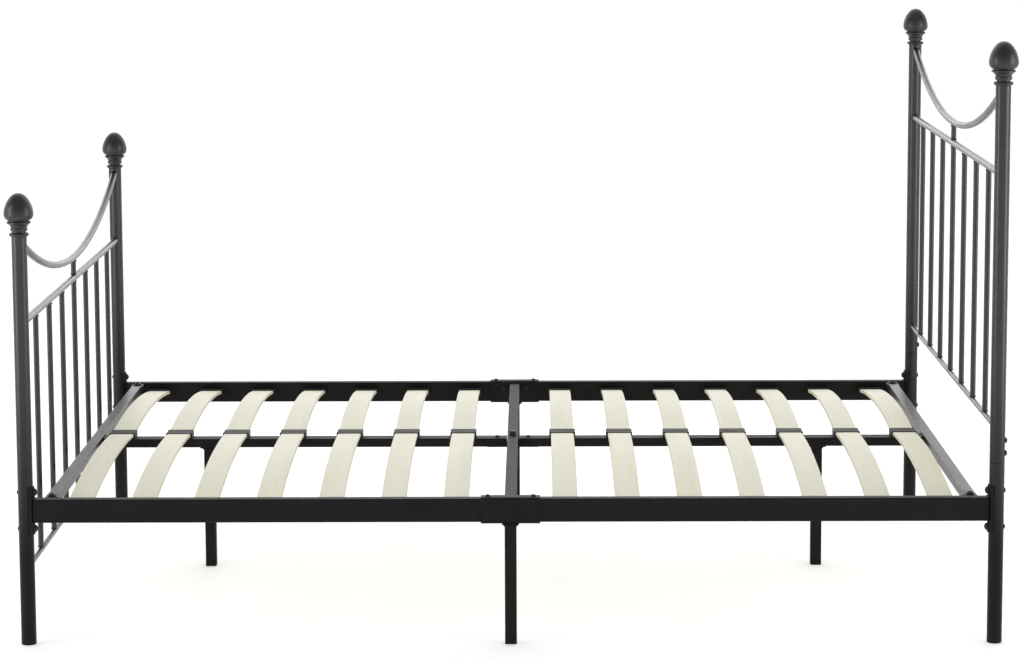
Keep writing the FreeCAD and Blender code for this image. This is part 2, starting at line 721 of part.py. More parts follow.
def make_cradle():
    plate = block("beam_cradle_plate", ("cradle_length", "cradle_width", "plate_thickness"),
                  ("0", "0", CRADLE_BOTTOM))
    # Its holes are threaded, so they have no clearance.
    under = f"{CRADLE_BOTTOM} - plate_thickness"
    holes = [rod("beam_cradle_middle_hole", "big_bolt", "3 * plate_thickness", ("0", "0", under))]
    for end, along in ENDS.items():
        holes.append(rod(f"beam_cradle_hole_{end}", "small_bolt", "3 * plate_thickness",
                         (f"{along} * beam_bolt_x", "0", under)))
    keep("beam_cradle", cut("beam_cradle", plate, *holes))


def shoe_pegs(name, diameter, start, length):
    """The two pegs of a beam shoe, or the holes for them in the end rail's inner wall."""
    return [rod(f"{name}_{index}", diameter, length,
                (start, f"{sign} * shoe_peg_spacing / 2", f"{RAIL_TOP} - shoe_peg_drop"), "x")
            for index, sign in enumerate((1, -1))]


def make_end_rails():
    tube_end = f"({RAIL_INNER_Y} - end_tab_gap - end_tab_length)"
    for end, along in ENDS.items():
        name = f"end_rail_{end}"
        x = f"{along} * {END_RAIL_X}"
        bar = box_tube(name + "_bar", "y", ("end_rail_width", "end_rail_height"), "rail_wall",
                       "rail_corner", f"2 * {tube_end}",
                       (x, "0", f"{RAIL_TOP} - end_rail_height / 2"))
        tabs = []
        holes = shoe_pegs(name + "_peg_hole", "peg_diameter + 2 * peg_fit",
                          f"{along} * {END_RAIL_FACE} - peg_length", "2 * peg_length")
        for side, across in SIDES.items():
            tabs.append(block(f"{name}_tab_{side}", ("end_tab_width", "end_tab_length", "plate_thickness"),
                              (x, f"{across} * ({tube_end} + end_tab_length / 2)", SHELF_TOP)))
            tabs.append(block(f"{name}_root_{side}",
                              ("end_rail_width - rail_wall", "2 * end_tab_root", "plate_thickness"),
                              (x, f"{across} * {tube_end}", SHELF_TOP)))
            holes.append(end_bolt_hole(f"{name}_hole_{side}", x, across))
        keep(name, cut(name, fuse(name + "_welded", bar, *tabs), *holes))


def make_beam_clips():
    """Shoes pegged to the end rails, which the beam's ends slide into."""
    clips = []
    for end, along in ENDS.items():
        name = f"beam_clip_{end}"
        face = f"{along} * {END_RAIL_FACE}"
        shoe = block(name + "_shoe", ("shoe_length", "beam_width + 2 * shoe_wall",
                                      "beam_height + 2 * shoe_wall"),
                     (f"{face} - {along} * shoe_length / 2", "0", f"{BEAM_BOTTOM} - shoe_wall"))
        pocket = block(name + "_pocket", ("2 * shoe_length", "beam_width", "beam_height"),
                       (f"{along} * ({BEAM_END} - shoe_length)", "0", BEAM_BOTTOM))
        reach = "(peg_length + shoe_wall / 2)"
        start = f"{face} - shoe_wall / 2" if along > 0 else f"{face} - peg_length"
        clips.append(fuse(name, cut(name + "_open", shoe, pocket),
                          *shoe_pegs(name + "_peg", "peg_diameter", start, reach)))
    keep("beam_end_clips", group("beam_end_clips", clips))


# ---------------------------------------------------------------- legs

def leg(name, x, y, top, plate, *stud):
    """A square leg with a plate welded on its top. top is the plate's upper face."""
    length = f"({top} - plate_thickness - foot_thickness)"
    tube = box_tube(name + "_tube", "z", ("leg_size", "leg_size"), "leg_wall", "rail_corner",
                    length, (x, y, f"foot_thickness + {length} / 2"))
    flat = block(name + "_plate", (*plate, "plate_thickness"), (x, y, f"{top} - plate_thickness"))
    keep(name, fuse(name, tube, flat, *stud))


def make_legs():
    places = []
    for side, across in SIDES.items():
        y = f"{across} * bed_width / 2"
        leg(f"rail_leg_{side}", "0", y, JOINER_BOTTOM,
            ("leg_plate_length", f"rail_width + 2 * {JOINER_GROWTH}"))
        places.append((f"rail_leg_{side}", "0", y))
    for end, along in ENDS.items():
        name = f"beam_leg_{end}"
        x = f"{along} * beam_leg_x"
        stud = rod(name + "_stud", "big_bolt", "beam_leg_stud + 1", (x, "0", f"{BEAM_BOTTOM} - 1"))
        leg(name, x, "0", BEAM_BOTTOM, ("beam_leg_plate_length", "beam_leg_plate_width"), stud)
        places.append((name, x, "0"))
    caps = []
    inside = "(leg_size - 2 * leg_wall - 2 * foot_fit)"
    for name, x, y in places:
        pad = block(name + "_cap_pad", ("leg_size", "leg_size", "foot_thickness"), (x, y, "0"))
        plug = block(name + "_cap_plug", (inside, inside, "foot_plug + foot_thickness / 2"),
                     (x, y, "foot_thickness / 2"))
        hollow = block(name + "_cap_hollow", (f"{inside} - 2 * foot_wall", f"{inside} - 2 * foot_wall",
                                              "2 * foot_plug"), (x, y, "foot_thickness"))
        caps.append(cut(name + "_cap", fuse(name + "_cap_whole", pad, plug), hollow))
    keep("leg_foot_caps", group("leg_foot_caps", caps))


# ---------------------------------------------------------------- slats and holders

def bowed_slat(name, x, spare):
    """A left half-slat, bowed up, grown by spare on every side. Its section is drawn along Y."""
    body = doc.addObject("PartDesign::Body", name)
    sketch = sketch_in(body, "YZ_Plane", name + "_bow")
    inner = f"(slat_inner_gap - {spare})"
    outer = f"({SLAT_OUTER_Y} + {spare})"
    fall = f"({SLAT_INNER_BOTTOM} - {SLAT_OUTER_BOTTOM})"
    chord = f"sqrt(({outer} - {inner}) ^ 2 + {fall} ^ 2)"
    bend = f"((({chord} / 2) ^ 2 + slat_camber ^ 2) / (2 * slat_camber))"
    outline(sketch, [
        (inner, f"{SLAT_INNER_BOTTOM} - {spare}", f"-({bend} - slat_thickness)"),
        (outer, f"{SLAT_OUTER_BOTTOM} - {spare}"),
        (outer, f"{SLAT_OUTER_BOTTOM} + slat_thickness + {spare}", bend),
        (inner, f"{SLAT_INNER_BOTTOM} + slat_thickness + {spare}"),
    ])
    pad = body.newObject("PartDesign::Pad", name + "_width")
    pad.Profile = sketch
    pad.SideType = "Symmetric"
    pad.setExpression("Length", formula(f"slat_width + 2 * {spare}"))
    return bind(body, {}, (x,))


def slat_places():
    """Every slat row from the foot to the head, as (half, index)."""
    foot = [(-1, index) for index in reversed(range(SLATS_PER_HALF))]
    return foot + [(1, index) for index in range(SLATS_PER_HALF)]


def make_slats():
    for row, (half, index) in enumerate(slat_places(), start=1):
        name = f"slat_row_{row:02d}"
        left = bowed_slat(name + "_left", slat_x(half, index), "0")
        keep(name, group(name, [left, mirrored(name + "_right", left, (0, 1, 0))]))


def copies(name, master, places):
    """The same piece again at other places along the bed."""
    links = []
    for index, x in enumerate(places):
        link = doc.addObject("App::Link", f"{name}_{index}")
        link.LinkedObject = master
        link.LinkTransform = True
        links.append(bind(link, {}, (x,)))
    return group(name, links)


def make_slat_holders():
    places = [slat_x(half, index) for half, index in slat_places()]
    pocket = bowed_slat("pocket_left", "0", "slat_fit")
    other_pocket = mirrored("pocket_right", pocket, (0, 1, 0))

    cap_block = block("cap_block", ("cap_length", "cap_depth", CAP_HEIGHT), ("0", "0", BEAM_TOP))
    cap_peg = rod("cap_peg", "peg_diameter", "peg_length + 1", ("0", "0", f"{BEAM_TOP} - peg_length"))
    cap = fuse("cap", cut("cap_open", cap_block, pocket, other_pocket), cap_peg)
    keep("slat_centre_caps", copies("slat_centre_caps", cap, places))

    holder_y = f"({RAIL_INNER_Y} - holder_depth / 2)"
    holder_block = block("holder_block", ("holder_length", "holder_depth", HOLDER_HEIGHT),
                         ("0", holder_y, HOLDER_BOTTOM))
    holder_peg = rod("holder_peg", "peg_diameter", "peg_length",
                     ("0", f"{RAIL_INNER_Y} - slat_outer_gap / 2",
                      f"{HOLDER_BOTTOM} + {HOLDER_HEIGHT} / 2"),
                     "y")
    holder = fuse("holder", cut("holder_open", holder_block, pocket), holder_peg)
    pair = group("holder_pair", [holder, mirrored("holder_other", holder, (0, 1, 0))])
    keep("slat_end_holders", copies("slat_end_holders", pair, places))


# ---------------------------------------------------------------- bolts and screws

def make_post_bolts():
    """A bolt through each post and saddle, domed outside on the headboard only."""
    bolts = []
    for end, along in ENDS.items():
        x = f"{along} * bed_length / 2"
        for side, across in SIDES.items():
            y = f"{across} * bed_width / 2"
            saddle_bar = rod(f"{end}_{side}_bolt_saddle_bar", f"2 * {SADDLE_RADIUS}", "head_post_top",
                             (x, y, "0"))
            post_bar = rod(f"{end}_{side}_bolt_post_bar", "post_diameter", "head_post_top", (x, y, "0"))
            for index, height in enumerate(post_bolt_heights()):
                name = f"post_bolt_{end}_{side}_{index}"
                head_length = "(post_head_height + saddle_thickness)"
                inside = f"({SADDLE_RADIUS} + post_head_height)"
                head_x = f"{x} - {inside}" if along > 0 else f"{x} + {inside} - {head_length}"
                head = cut(name + "_head",
                           rod(name + "_head_bar", "post_head_diameter", head_length,
                               (head_x, y, height), "x"), saddle_bar)
                shank_length = f"({SADDLE_RADIUS} + {POST_RADIUS})"
                shank_x = f"{x} - {SADDLE_RADIUS}" if along > 0 else f"{x} - {POST_RADIUS}"
                parts = [head, rod(name + "_shank", "big_bolt", f"{shank_length} + post_wall",
                                   (shank_x if along > 0 else f"{shank_x} - post_wall", y, height), "x")]
                if end == "headboard":
                    parts.append(cut(name + "_button",
                                     rod(name + "_button_bar", "button_diameter",
                                         "button_height + post_wall",
                                         (f"{x} + {POST_RADIUS} - post_wall", y, height), "x"), post_bar))
                bolts.append(fuse(name, *parts))
    keep("post_bolts", group("post_bolts", bolts))


def make_joint_screws():
    screws = []
    x = "bed_length / 2"
    for side, across in SIDES.items():
        y = f"{across} * bed_width / 2"
        post_bar = rod(f"joint_screw_post_bar_{side}", "post_diameter", "head_post_top", (x, y, "0"))
        for index, height in enumerate(joint_screw_heights()):
            name = f"joint_screw_{side}_{index}"
            head = cut(name + "_head",
                       rod(name + "_head_bar", "screw_head_diameter",
                           "screw_head_height + 2 * post_wall",
                           (f"{x} + {POST_RADIUS} - 2 * post_wall", y, height), "x"), post_bar)
            shank = rod(name + "_shank", "small_bolt", "4 * post_wall + 1",
                        (f"{x} + {POST_RADIUS} - 4 * post_wall", y, height), "x")
            screws.append(fuse(name, head, shank))
    keep("leg_joint_screws", group("leg_joint_screws", screws))


def upright_bolt(name, x, y, under, top, shank, head, head_height, nut=False):
    """A bolt from a top face down to an under face, and a nut below it where there is one."""
    parts = [rod(name + "_shank", shank, f"{top} - ({under}) + 1", (x, y, under)),
             rod(name + "_head", head, head_height, (x, y, top))]
    if nut:
        parts.append(rod(name + "_nut", head, "small_head_height", (x, y, f"{under} - small_head_height")))
    return fuse(name, *parts)


def make_frame_bolts():
    """Bolts on the sleeves, the crossbar's plates, the beam and the end rails."""
    top_bolts = []
    plate_bolts = []
    beam_bolts = []
    end_bolts = []
    for end, along in ENDS.items():
        for side, across in SIDES.items():
            y = f"{across} * bed_width / 2"
            top_bolts.append(upright_bolt(
                f"joiner_bolt_{end}_{side}", f"{along} * joiner_bolt_x", y,
                f"{RAIL_TOP} - 3 * rail_wall", JOINER_TOP, "small_bolt", "small_head_diameter",
                "small_head_height"))
            end_x = f"{along} * {END_RAIL_X}"
            end_y = f"{across} * {END_BOLT_Y}"
            washer = rod(f"end_washer_{end}_{side}", "end_washer_diameter", "end_washer_thickness",
                         (end_x, end_y, TAB_TOP))
            end_bolts.append(fuse(f"end_bolt_{end}_{side}", washer, upright_bolt(
                f"end_rail_bolt_{end}_{side}", end_x, end_y, f"({SHELF_TOP} - plate_thickness)",
                f"({TAB_TOP} + end_washer_thickness)", "big_bolt", "washer_diameter",
                "end_head_height", nut=True)))
            name = f"plate_bolt_{end}_{side}"
            face = f"({JOINER_INNER_Y} - plate_thickness)"
            grip = "(plate_thickness + joiner_wall + joiner_fit + 3 * rail_wall)"
            x = f"{along} * end_plate_bolt_x"
            head_y = f"{face} - small_head_height" if across > 0 else f"-{face}"
            shank_y = f"{face} - 1" if across > 0 else f"-{face} - {grip}"
            plate_bolts.append(fuse(
                name,
                rod(name + "_head", "small_head_diameter", "small_head_height",
                    (x, head_y, CROSSBAR_MIDDLE), "y"),
                rod(name + "_shank", "small_bolt", f"{grip} + 1", (x, shank_y, CROSSBAR_MIDDLE), "y")))
        beam_bolts.append(upright_bolt(
            f"beam_bolt_{end}", f"{along} * beam_bolt_x", "0", CRADLE_BOTTOM, BEAM_TOP,
            "small_bolt", "small_head_diameter", "small_head_height"))
    keep("joiner_bolts", group("joiner_bolts", top_bolts + plate_bolts))
    keep("end_rail_bolts", group("end_rail_bolts", end_bolts))
    washer = rod("crossing_washer", "washer_diameter", "washer_thickness", ("0", "0", CROSSBAR_TOP))
    knob = upright_bolt("crossing_knob", "0", "0", CRADLE_BOTTOM,
                        f"({CROSSBAR_TOP} + washer_thickness)", "big_bolt", "post_head_diameter",
                        "knob_height")
    beam_bolts.append(fuse("crossing_bolt", washer, knob))
    keep("beam_bolts", group("beam_bolts", beam_bolts))


make_foot_posts()
make_head_posts()
make_head_legs()
make_finials()
make_post_caps()
for end_name, direction in ENDS.items():
    make_end_frame(end_name, direction)
make_side_rails()
make_joiners()
make_crossbar()
make_beams()
make_cradle()
make_end_rails()
make_beam_clips()
make_legs()
make_slats()
make_slat_holders()
make_post_bolts()
make_joint_screws()
make_frame_bolts()

doc.recompute()

for item in doc.Objects:
    if "Invalid" in item.State or "Error" in item.State:
        raise RuntimeError(f"{item.Name} failed: {item.State}")
for node, piece in nodes.items():
    if piece.Shape.isNull() or not piece.Shape.isValid():
        raise RuntimeError(f"{node} has no valid shape")

os.makedirs("parts", exist_ok=True)
for node, piece in nodes.items():
    piece.Shape.exportStep(f"parts/{node}.step")
print(len(nodes), "sub-parts written")
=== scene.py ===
import math
import bmesh
import bpy
from mathutils import Matrix, Vector, noise


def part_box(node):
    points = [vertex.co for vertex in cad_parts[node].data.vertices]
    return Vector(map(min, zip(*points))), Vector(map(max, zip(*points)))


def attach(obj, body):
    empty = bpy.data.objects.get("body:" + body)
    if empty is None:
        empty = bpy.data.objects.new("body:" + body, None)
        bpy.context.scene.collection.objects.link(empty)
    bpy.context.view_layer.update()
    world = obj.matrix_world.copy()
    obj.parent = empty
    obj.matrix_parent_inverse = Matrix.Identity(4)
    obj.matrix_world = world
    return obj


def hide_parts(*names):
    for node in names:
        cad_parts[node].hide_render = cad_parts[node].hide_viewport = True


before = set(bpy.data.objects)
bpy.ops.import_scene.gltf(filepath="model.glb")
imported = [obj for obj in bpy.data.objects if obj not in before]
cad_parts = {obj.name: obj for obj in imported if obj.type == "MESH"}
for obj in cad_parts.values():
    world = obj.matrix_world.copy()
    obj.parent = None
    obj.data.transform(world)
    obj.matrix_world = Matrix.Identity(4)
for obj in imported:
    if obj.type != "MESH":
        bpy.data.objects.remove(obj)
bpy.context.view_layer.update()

MM = 0.001
SIDES = {"left": 1, "right": -1}
ENDS = {"headboard": 1, "footboard": -1}
ROUND_STEPS = 40          # sides of a round tube
CORNER_STEPS = 4          # cuts round a square tube's corner
SHARP_EDGE = math.radians(38)
EDGE_WEAR = 0.35 * MM     # how far the ends of cut metal are rounded

POST_RADIUS = 16 * MM
ROUND_RAIL_RADIUS = 8 * MM
THIN_RADIUS = 6 * MM
RAIL_CORNER = 2.4 * MM
FOOT_GAP = 3.6 * MM       # from the floor to a post's lower end, inside its foot cap
WELD = 1.6 * MM           # radius of a weld bead
WELD_RIPPLE = 420         # how fine a bead's unevenness is
WELD_UNEVEN = 0.35        # how strong it is
PLY_PAIRS = 3             # dark and pale ply pairs through a slat


def remap(tree, factor, given, wanted):
    """A shader value moved from the given range onto the wanted one."""
    made = tree.nodes.new("ShaderNodeMapRange")
    for socket, value in zip(("From Min", "From Max", "To Min", "To Max"), (*given, *wanted)):
        made.inputs[socket].default_value = value
    tree.links.new(factor, made.inputs["Value"])
    return made.outputs["Result"]


# ---------------------------------------------------------------- materials

class Finish:
    """A node material with its shader, and short ways to add and join nodes."""

    def __init__(self, name, roughness, specular=0.5):
        self.material = bpy.data.materials.new(name)
        self.material.use_nodes = True
        self.tree = self.material.node_tree
        self.shader = self.tree.nodes["Principled BSDF"]
        self.shader.inputs["Roughness"].default_value = roughness
        self.shader.inputs["Specular IOR Level"].default_value = specular
        self.place = self.tree.nodes.new("ShaderNodeTexCoord").outputs["Object"]

    def node(self, kind, **values):
        made = self.tree.nodes.new("ShaderNode" + kind)
        for name, value in values.items():
            if name in made.inputs:
                made.inputs[name].default_value = value
            else:
                setattr(made, name, value)
        return made

    def join(self, output, node, socket):
        self.tree.links.new(output, node.inputs[socket])
        return node

    def scaled(self, stretch):
        """Object coordinates stretched differently along each axis."""
        mapping = self.node("Mapping")
        mapping.inputs["Scale"].default_value = stretch
        return self.join(self.place, mapping, "Vector").outputs["Vector"]

    def mottle(self, scale, detail=2.0, place=None):
        """A noise pattern's strength, from 0 to 1."""
        made = self.node("TexNoise", Scale=scale, Detail=detail)
        return self.join(place or self.place, made, "Vector").outputs["Fac"]

    def ramp(self, factor, *stops):
        """Colours by a factor. A stop is (place, (red, green, blue))."""
        made = self.node("ValToRGB")
        elements = made.color_ramp.elements
        while len(elements) < len(stops):
            elements.new(0.5)
        for element, (where, colour) in zip(elements, stops):
            element.position = where
            element.color = (*colour, 1)
        return self.join(factor, made, "Fac").outputs["Color"]

    def spread(self, factor, low, high):
        """A noise factor's usual range, 0.3 to 0.7, moved onto another range."""
        return remap(self.tree, factor, (0.3, 0.7), (low, high))

    def mix(self, factor, first, second, blend="MIX"):
        """Two colours mixed by a factor."""
        made = self.node("Mix")
        made.data_type = "RGBA"
        made.blend_type = blend
        for socket, value in ((0, factor), (6, first), (7, second)):
            if hasattr(value, "links"):
                self.tree.links.new(value, made.inputs[socket])
            else:
                made.inputs[socket].default_value = value
        return made.outputs[2]

    def bump(self, height, strength, depth, below=None):
        made = self.node("Bump", Strength=strength, Distance=depth)
        self.join(height, made, "Height")
        if below:
            self.join(below, made, "Normal")
        return made.outputs["Normal"]


# Painted shade on the posts and legs: colour painted darker and shine painted lower towards the floor, in
# place of the shade under the bed.
PAINTED_SHADE_HEIGHTS = (0.2, 0.6)             # metres above the floor: painted shade is strongest below the first and gone above the second
PAINTED_SHADE_TONE = (0.004, 0.004, 0.004, 1)


def powder_coat(name, shade, roughness, specular, peel_strength, floor_shade_painted=False):
    """Powder coat: a fine orange peel over slow ripples, with faint dust and rubbed patches.
    With its last flag set, the coat gets painted shade: darker and less shiny towards the floor."""
    coat = Finish(name, roughness, specular)
    tone = coat.ramp(coat.mottle(9, 5), (0.3, (shade,) * 3), (0.75, (1.6 * shade,) * 3))
    coat.join(tone, coat.shader, "Base Color")
    coat.join(coat.spread(coat.mottle(42, 4), roughness - 0.03, roughness + 0.04), coat.shader, "Roughness")
    ripple = coat.bump(coat.mottle(70, 1), 0.3 * peel_strength, 1 * MM)
    peel = coat.bump(coat.mottle(950, 2), peel_strength, 0.12 * MM, ripple)
    coat.join(peel, coat.shader, "Normal")
    if floor_shade_painted:
        # painted shade near the floor: the base colour darkens and the specular level drops towards the
        # floor
        split = coat.join(coat.place, coat.node("SeparateXYZ"), "Vector")
        height = remap(coat.tree, split.outputs["Z"], PAINTED_SHADE_HEIGHTS, (0.25, 1))
        floor_shaded_shine = coat.node("Math", operation="MULTIPLY")
        floor_shaded_shine.inputs[1].default_value = specular
        coat.join(height, floor_shaded_shine, 0)
        coat.join(floor_shaded_shine.outputs[0], coat.shader, "Specular IOR Level")
        coat.join(coat.mix(height, PAINTED_SHADE_TONE, tone), coat.shader, "Base Color")
    return coat.material


def dark_screw(name):
    """Black phosphated steel: a little metal shows through in worn specks."""
    screw = Finish(name, 0.42, specular=0.25)
    worn = screw.mottle(1400, 3)
    screw.join(screw.ramp(worn, (0.45, (0.008, 0.008, 0.009)), (0.78, (0.045, 0.043, 0.041))),
               screw.shader, "Base Color")
    screw.join(screw.spread(worn, 0.52, 0.36), screw.shader, "Roughness")
    screw.join(screw.bump(screw.mottle(2600, 2), 0.2, 0.06 * MM), screw.shader, "Normal")
    return screw.material


def moulded_plastic(name, shade, roughness):
    """Black nylon with a fine spark-eroded grain and slight flow marks."""
    plastic = Finish(name, roughness, specular=0.2)
    lighter = tuple(1.7 * channel for channel in shade)
    plastic.join(plastic.ramp(plastic.mottle(55, 4), (0.3, shade), (0.75, lighter)),
                 plastic.shader, "Base Color")
    plastic.join(plastic.spread(plastic.mottle(120, 3), roughness - 0.06, roughness + 0.08),
                 plastic.shader, "Roughness")
    plastic.join(plastic.bump(plastic.mottle(1900, 2), 0.35, 0.09 * MM), plastic.shader, "Normal")
    return plastic.material


def birch(name):
    """Lacquered birch ply: faint long grain on the faces, thin darker plies along the edges."""
    wood = Finish(name, 0.42, specular=0.35)
    palest = (0.69, 0.68, 0.555)
    streak = wood.mottle(1.0, 6, wood.scaled((210, 5, 60)))
    figure = wood.mottle(1.0, 3, wood.scaled((34, 1.6, 12)))
    slat_tone = wood.mottle(1.0, 0, wood.scaled((9, 0.9, 1)))
    pale = wood.ramp(streak, (0.25, (0.56, 0.535, 0.395)), (0.55, (0.64, 0.625, 0.49)),
                     (0.85, palest))
    warm = wood.ramp(figure, (0.3, (0.58, 0.555, 0.40)), (0.7, palest))
    face = wood.mix(0.42, pale, warm)
    aged = wood.mix(wood.spread(slat_tone, 0.0, 0.34), face, (0.62, 0.58, 0.42, 1))
    pores = wood.ramp(wood.mottle(1.0, 2, wood.scaled((900, 26, 300))),
                      (0.30, (0.80, 0.74, 0.64)), (0.42, (1, 1, 1)))
    grained = wood.mix(0.5, aged, pores, "MULTIPLY")
    ply = wood.node("Attribute", attribute_name="ply").outputs["Fac"]
    wave = wood.node("Math", operation="SINE")
    turned = wood.node("Math", operation="MULTIPLY")
    turned.inputs[1].default_value = 2 * math.pi * PLY_PAIRS
    wood.join(ply, turned, 0)
    wood.join(turned.outputs[0], wave, 0)
    stripes = wood.ramp(wave.outputs[0], (0.35, (1, 1, 1)), (0.6, (0.60, 0.48, 0.33)))
    wood.join(wood.mix(0.8, grained, stripes, "MULTIPLY"), wood.shader, "Base Color")
    wood.join(wood.spread(streak, 0.38, 0.5), wood.shader, "Roughness")
    wood.join(wood.bump(streak, 0.12, 0.15 * MM), wood.shader, "Normal")
    return wood.material


END_COAT = powder_coat("satin_powder_coat", 0.014, 0.29, 0.5, 0.04)
# the posts and legs carry painted shade towards the floor
POST_COAT = powder_coat("post_powder_coat", 0.014, 0.29, 0.5, 0.04, floor_shade_painted=True)
CROSS_COAT = powder_coat("end_rail_powder_coat", 0.008, 0.38, 0.4, 0.05)
BASE_COAT = powder_coat("matt_powder_coat", 0.0048, 0.56, 0.15, 0.07)
CAST_COAT = powder_coat("finial_coat", 0.012, 0.37, 0.5, 0.12)
SCREW = dark_screw("blackened_steel")
PLASTIC = moulded_plastic("black_nylon", (0.0065, 0.0065, 0.0066), 0.5)
FOOT_PLASTIC = moulded_plastic("black_foot_plastic", (0.006, 0.006, 0.006), 0.55)
BIRCH = birch("birch_ply")


# ---------------------------------------------------------------- shapes, each made along its own Z axis

def settle(shape):
    """Close a shape's seams and turn its faces outwards."""
    bmesh.ops.remove_doubles(shape, verts=shape.verts, dist=1e-6)
    bmesh.ops.recalc_face_normals(shape, faces=shape.faces)
    return shape


ALONG = {
    "x": Matrix.Rotation(math.radians(90), 4, "Y"),
    "-x": Matrix.Rotation(math.radians(-90), 4, "Y"),
    "y": Matrix.Rotation(math.radians(-90), 4, "X"),
    "-y": Matrix.Rotation(math.radians(90), 4, "X"),
    "z": Matrix.Identity(4),
    "-z": Matrix.Rotation(math.radians(180), 4, "X"),
}


def put(shape, at, axis="z"):
    """Turn a shape's own Z along an axis, then move its origin to a place."""
    bmesh.ops.transform(shape, matrix=Matrix.Translation(at) @ ALONG[axis], verts=shape.verts)
    return shape


def lathe(outline, steps=ROUND_STEPS):
    """Spin an outline of (radius, height) points that starts and ends on the axis."""
    shape = bmesh.new()
    points = [shape.verts.new((radius, 0, height)) for radius, height in outline]
    edges = [shape.edges.new(pair) for pair in zip(points, points[1:])]
    bmesh.ops.spin(shape, geom=points + edges, cent=(0, 0, 0), axis=(0, 0, 1),
                   angle=2 * math.pi, steps=steps, use_merge=True)
    return settle(shape)


def arc(centre, radius, start, end, steps):
    """Points on an arc, with its angles in degrees."""
    turns = [math.radians(start + (end - start) * step / steps) for step in range(steps + 1)]
    return [(centre[0] + radius * math.cos(turn), centre[1] + radius * math.sin(turn)) for turn in turns]


def round_bar(radius, length, edge=EDGE_WEAR, steps=ROUND_STEPS):
    """A round bar from the origin, its two ends softened."""
    return lathe([(0, 0), (radius - edge, 0), (radius - 0.3 * edge, 0.3 * edge), (radius, edge),
                  (radius, length - edge), (radius - 0.3 * edge, length - 0.3 * edge),
                  (radius - edge, length), (0, length)], steps)


def rounded_section(width, depth, corner, steps=CORNER_STEPS):
    """A flat face about the origin with its corners rounded."""
    shape = bmesh.new()
    made = bmesh.ops.create_grid(shape, x_segments=1, y_segments=1, size=0.5)
    bmesh.ops.scale(shape, vec=(width, depth, 1), verts=made["verts"])
    if corner > 0:
        bmesh.ops.bevel(shape, geom=made["verts"], offset=corner, segments=steps, profile=0.5,
                        affect="VERTICES", material=-1)
    return shape


def box_bar(low, high, axis="z", corner=RAIL_CORNER, edge=EDGE_WEAR, hollow=0.0):
    """A bar that fills the box from low to high, its long corners rounded.
    hollow is a wall's thickness: both ends are then sunk in, as an open tube's are."""
    low, high = Vector(low), Vector(high)
    size = high - low
    across = {"x": (size.z, size.y, size.x), "y": (size.x, size.z, size.y), "z": tuple(size)}
    width, depth, length = across[axis]
    shape = rounded_section(width, depth, corner)
    top = bmesh.ops.extrude_face_region(shape, geom=shape.faces[:], use_keep_orig=True)["geom"]
    bmesh.ops.translate(shape, vec=(0, 0, length),
                        verts=[item for item in top if isinstance(item, bmesh.types.BMVert)])
    settle(shape)
    ends = [face for face in shape.faces if abs(face.normal.z) > 0.99]
    if hollow:
        sink = 1.2 * depth
        for end in ends:
            inward = -math.copysign(1, end.normal.z)
            bmesh.ops.inset_region(shape, faces=[end], thickness=hollow, use_even_offset=True)
            sunk = bmesh.ops.extrude_face_region(shape, geom=[end])["geom"]
            verts = [item for item in sunk if isinstance(item, bmesh.types.BMVert)]
            bmesh.ops.translate(shape, vec=(0, 0, inward * sink), verts=verts)
            bmesh.ops.delete(shape, geom=[end], context="FACES_ONLY")
    elif edge > 0:
        rims = list({rim for end in ends for rim in end.edges})
        bmesh.ops.bevel(shape, geom=rims, offset=edge, segments=2, profile=0.5,
                        affect="EDGES", material=-1)
    settle(shape)
    bmesh.ops.translate(shape, vec=(0, 0, -length / 2), verts=shape.verts)
    return put(shape, (low + high) / 2, axis)


def soft_block(low, high, edge):
    """A block with every edge rounded."""
    shape = bmesh.new()
    bmesh.ops.create_cube(shape, size=1)
    size = Vector(high) - Vector(low)
    bmesh.ops.scale(shape, vec=size, verts=shape.verts)
    bmesh.ops.bevel(shape, geom=shape.edges[:], offset=edge, segments=3, profile=0.5,
                    affect="EDGES", material=-1)
    return put(settle(shape), (Vector(low) + Vector(high)) / 2)


def bent_bar(section, bend, angle, steps):
    """A section face in XY, swept about an axis along X that lies a bend radius above it in Z."""
    bmesh.ops.rotate(section, matrix=Matrix.Rotation(math.radians(90), 3, "X"), cent=(0, 0, 0),
                     verts=section.verts)
    bmesh.ops.rotate(section, matrix=Matrix.Rotation(-angle / 2, 3, "X"), cent=(0, 0, bend),
                     verts=section.verts)
    bmesh.ops.spin(section, geom=section.verts[:] + section.edges[:] + section.faces[:],
                   cent=(0, 0, bend), axis=(1, 0, 0), angle=angle, steps=steps)
    return settle(section)


def weld_bead(radius, bead, seed, steps=48):
    """A small uneven ring of weld round a bar, lying in the plane it is welded to."""
    shape = bmesh.new()
    ring = bmesh.ops.create_circle(shape, segments=8, radius=bead)
    bmesh.ops.rotate(shape, matrix=Matrix.Rotation(math.radians(90), 3, "X"), cent=(0, 0, 0),
                     verts=ring["verts"])
    bmesh.ops.translate(shape, vec=(radius, 0, 0), verts=ring["verts"])
    bmesh.ops.spin(shape, geom=shape.verts[:] + shape.edges[:], cent=(0, 0, 0), axis=(0, 0, 1),
                   angle=2 * math.pi, steps=steps, use_merge=True)
    for point in shape.verts:
        swell = noise.noise(point.co * WELD_RIPPLE + Vector((seed * 7.3, seed * 1.9, seed)))
        middle_line = Vector((point.co.x, point.co.y, 0)).normalized() * radius
        point.co += (point.co - middle_line) * WELD_UNEVEN * swell
    return settle(shape)


def button_head(radius, height):
    """A domed head with a round socket."""
    socket = 0.42 * radius
    socket_floor = 0.35 * height
    brim = 0.25 * height
    dome = [(radius * math.cos(turn), brim + 0.75 * height * math.sin(turn))
            for turn in (0, 0.35, 0.7, 1.0)]
    return lathe([(0, 0), (radius, 0)] + dome + [(socket, height), (socket, socket_floor),
                                                 (0, socket_floor)], 30)


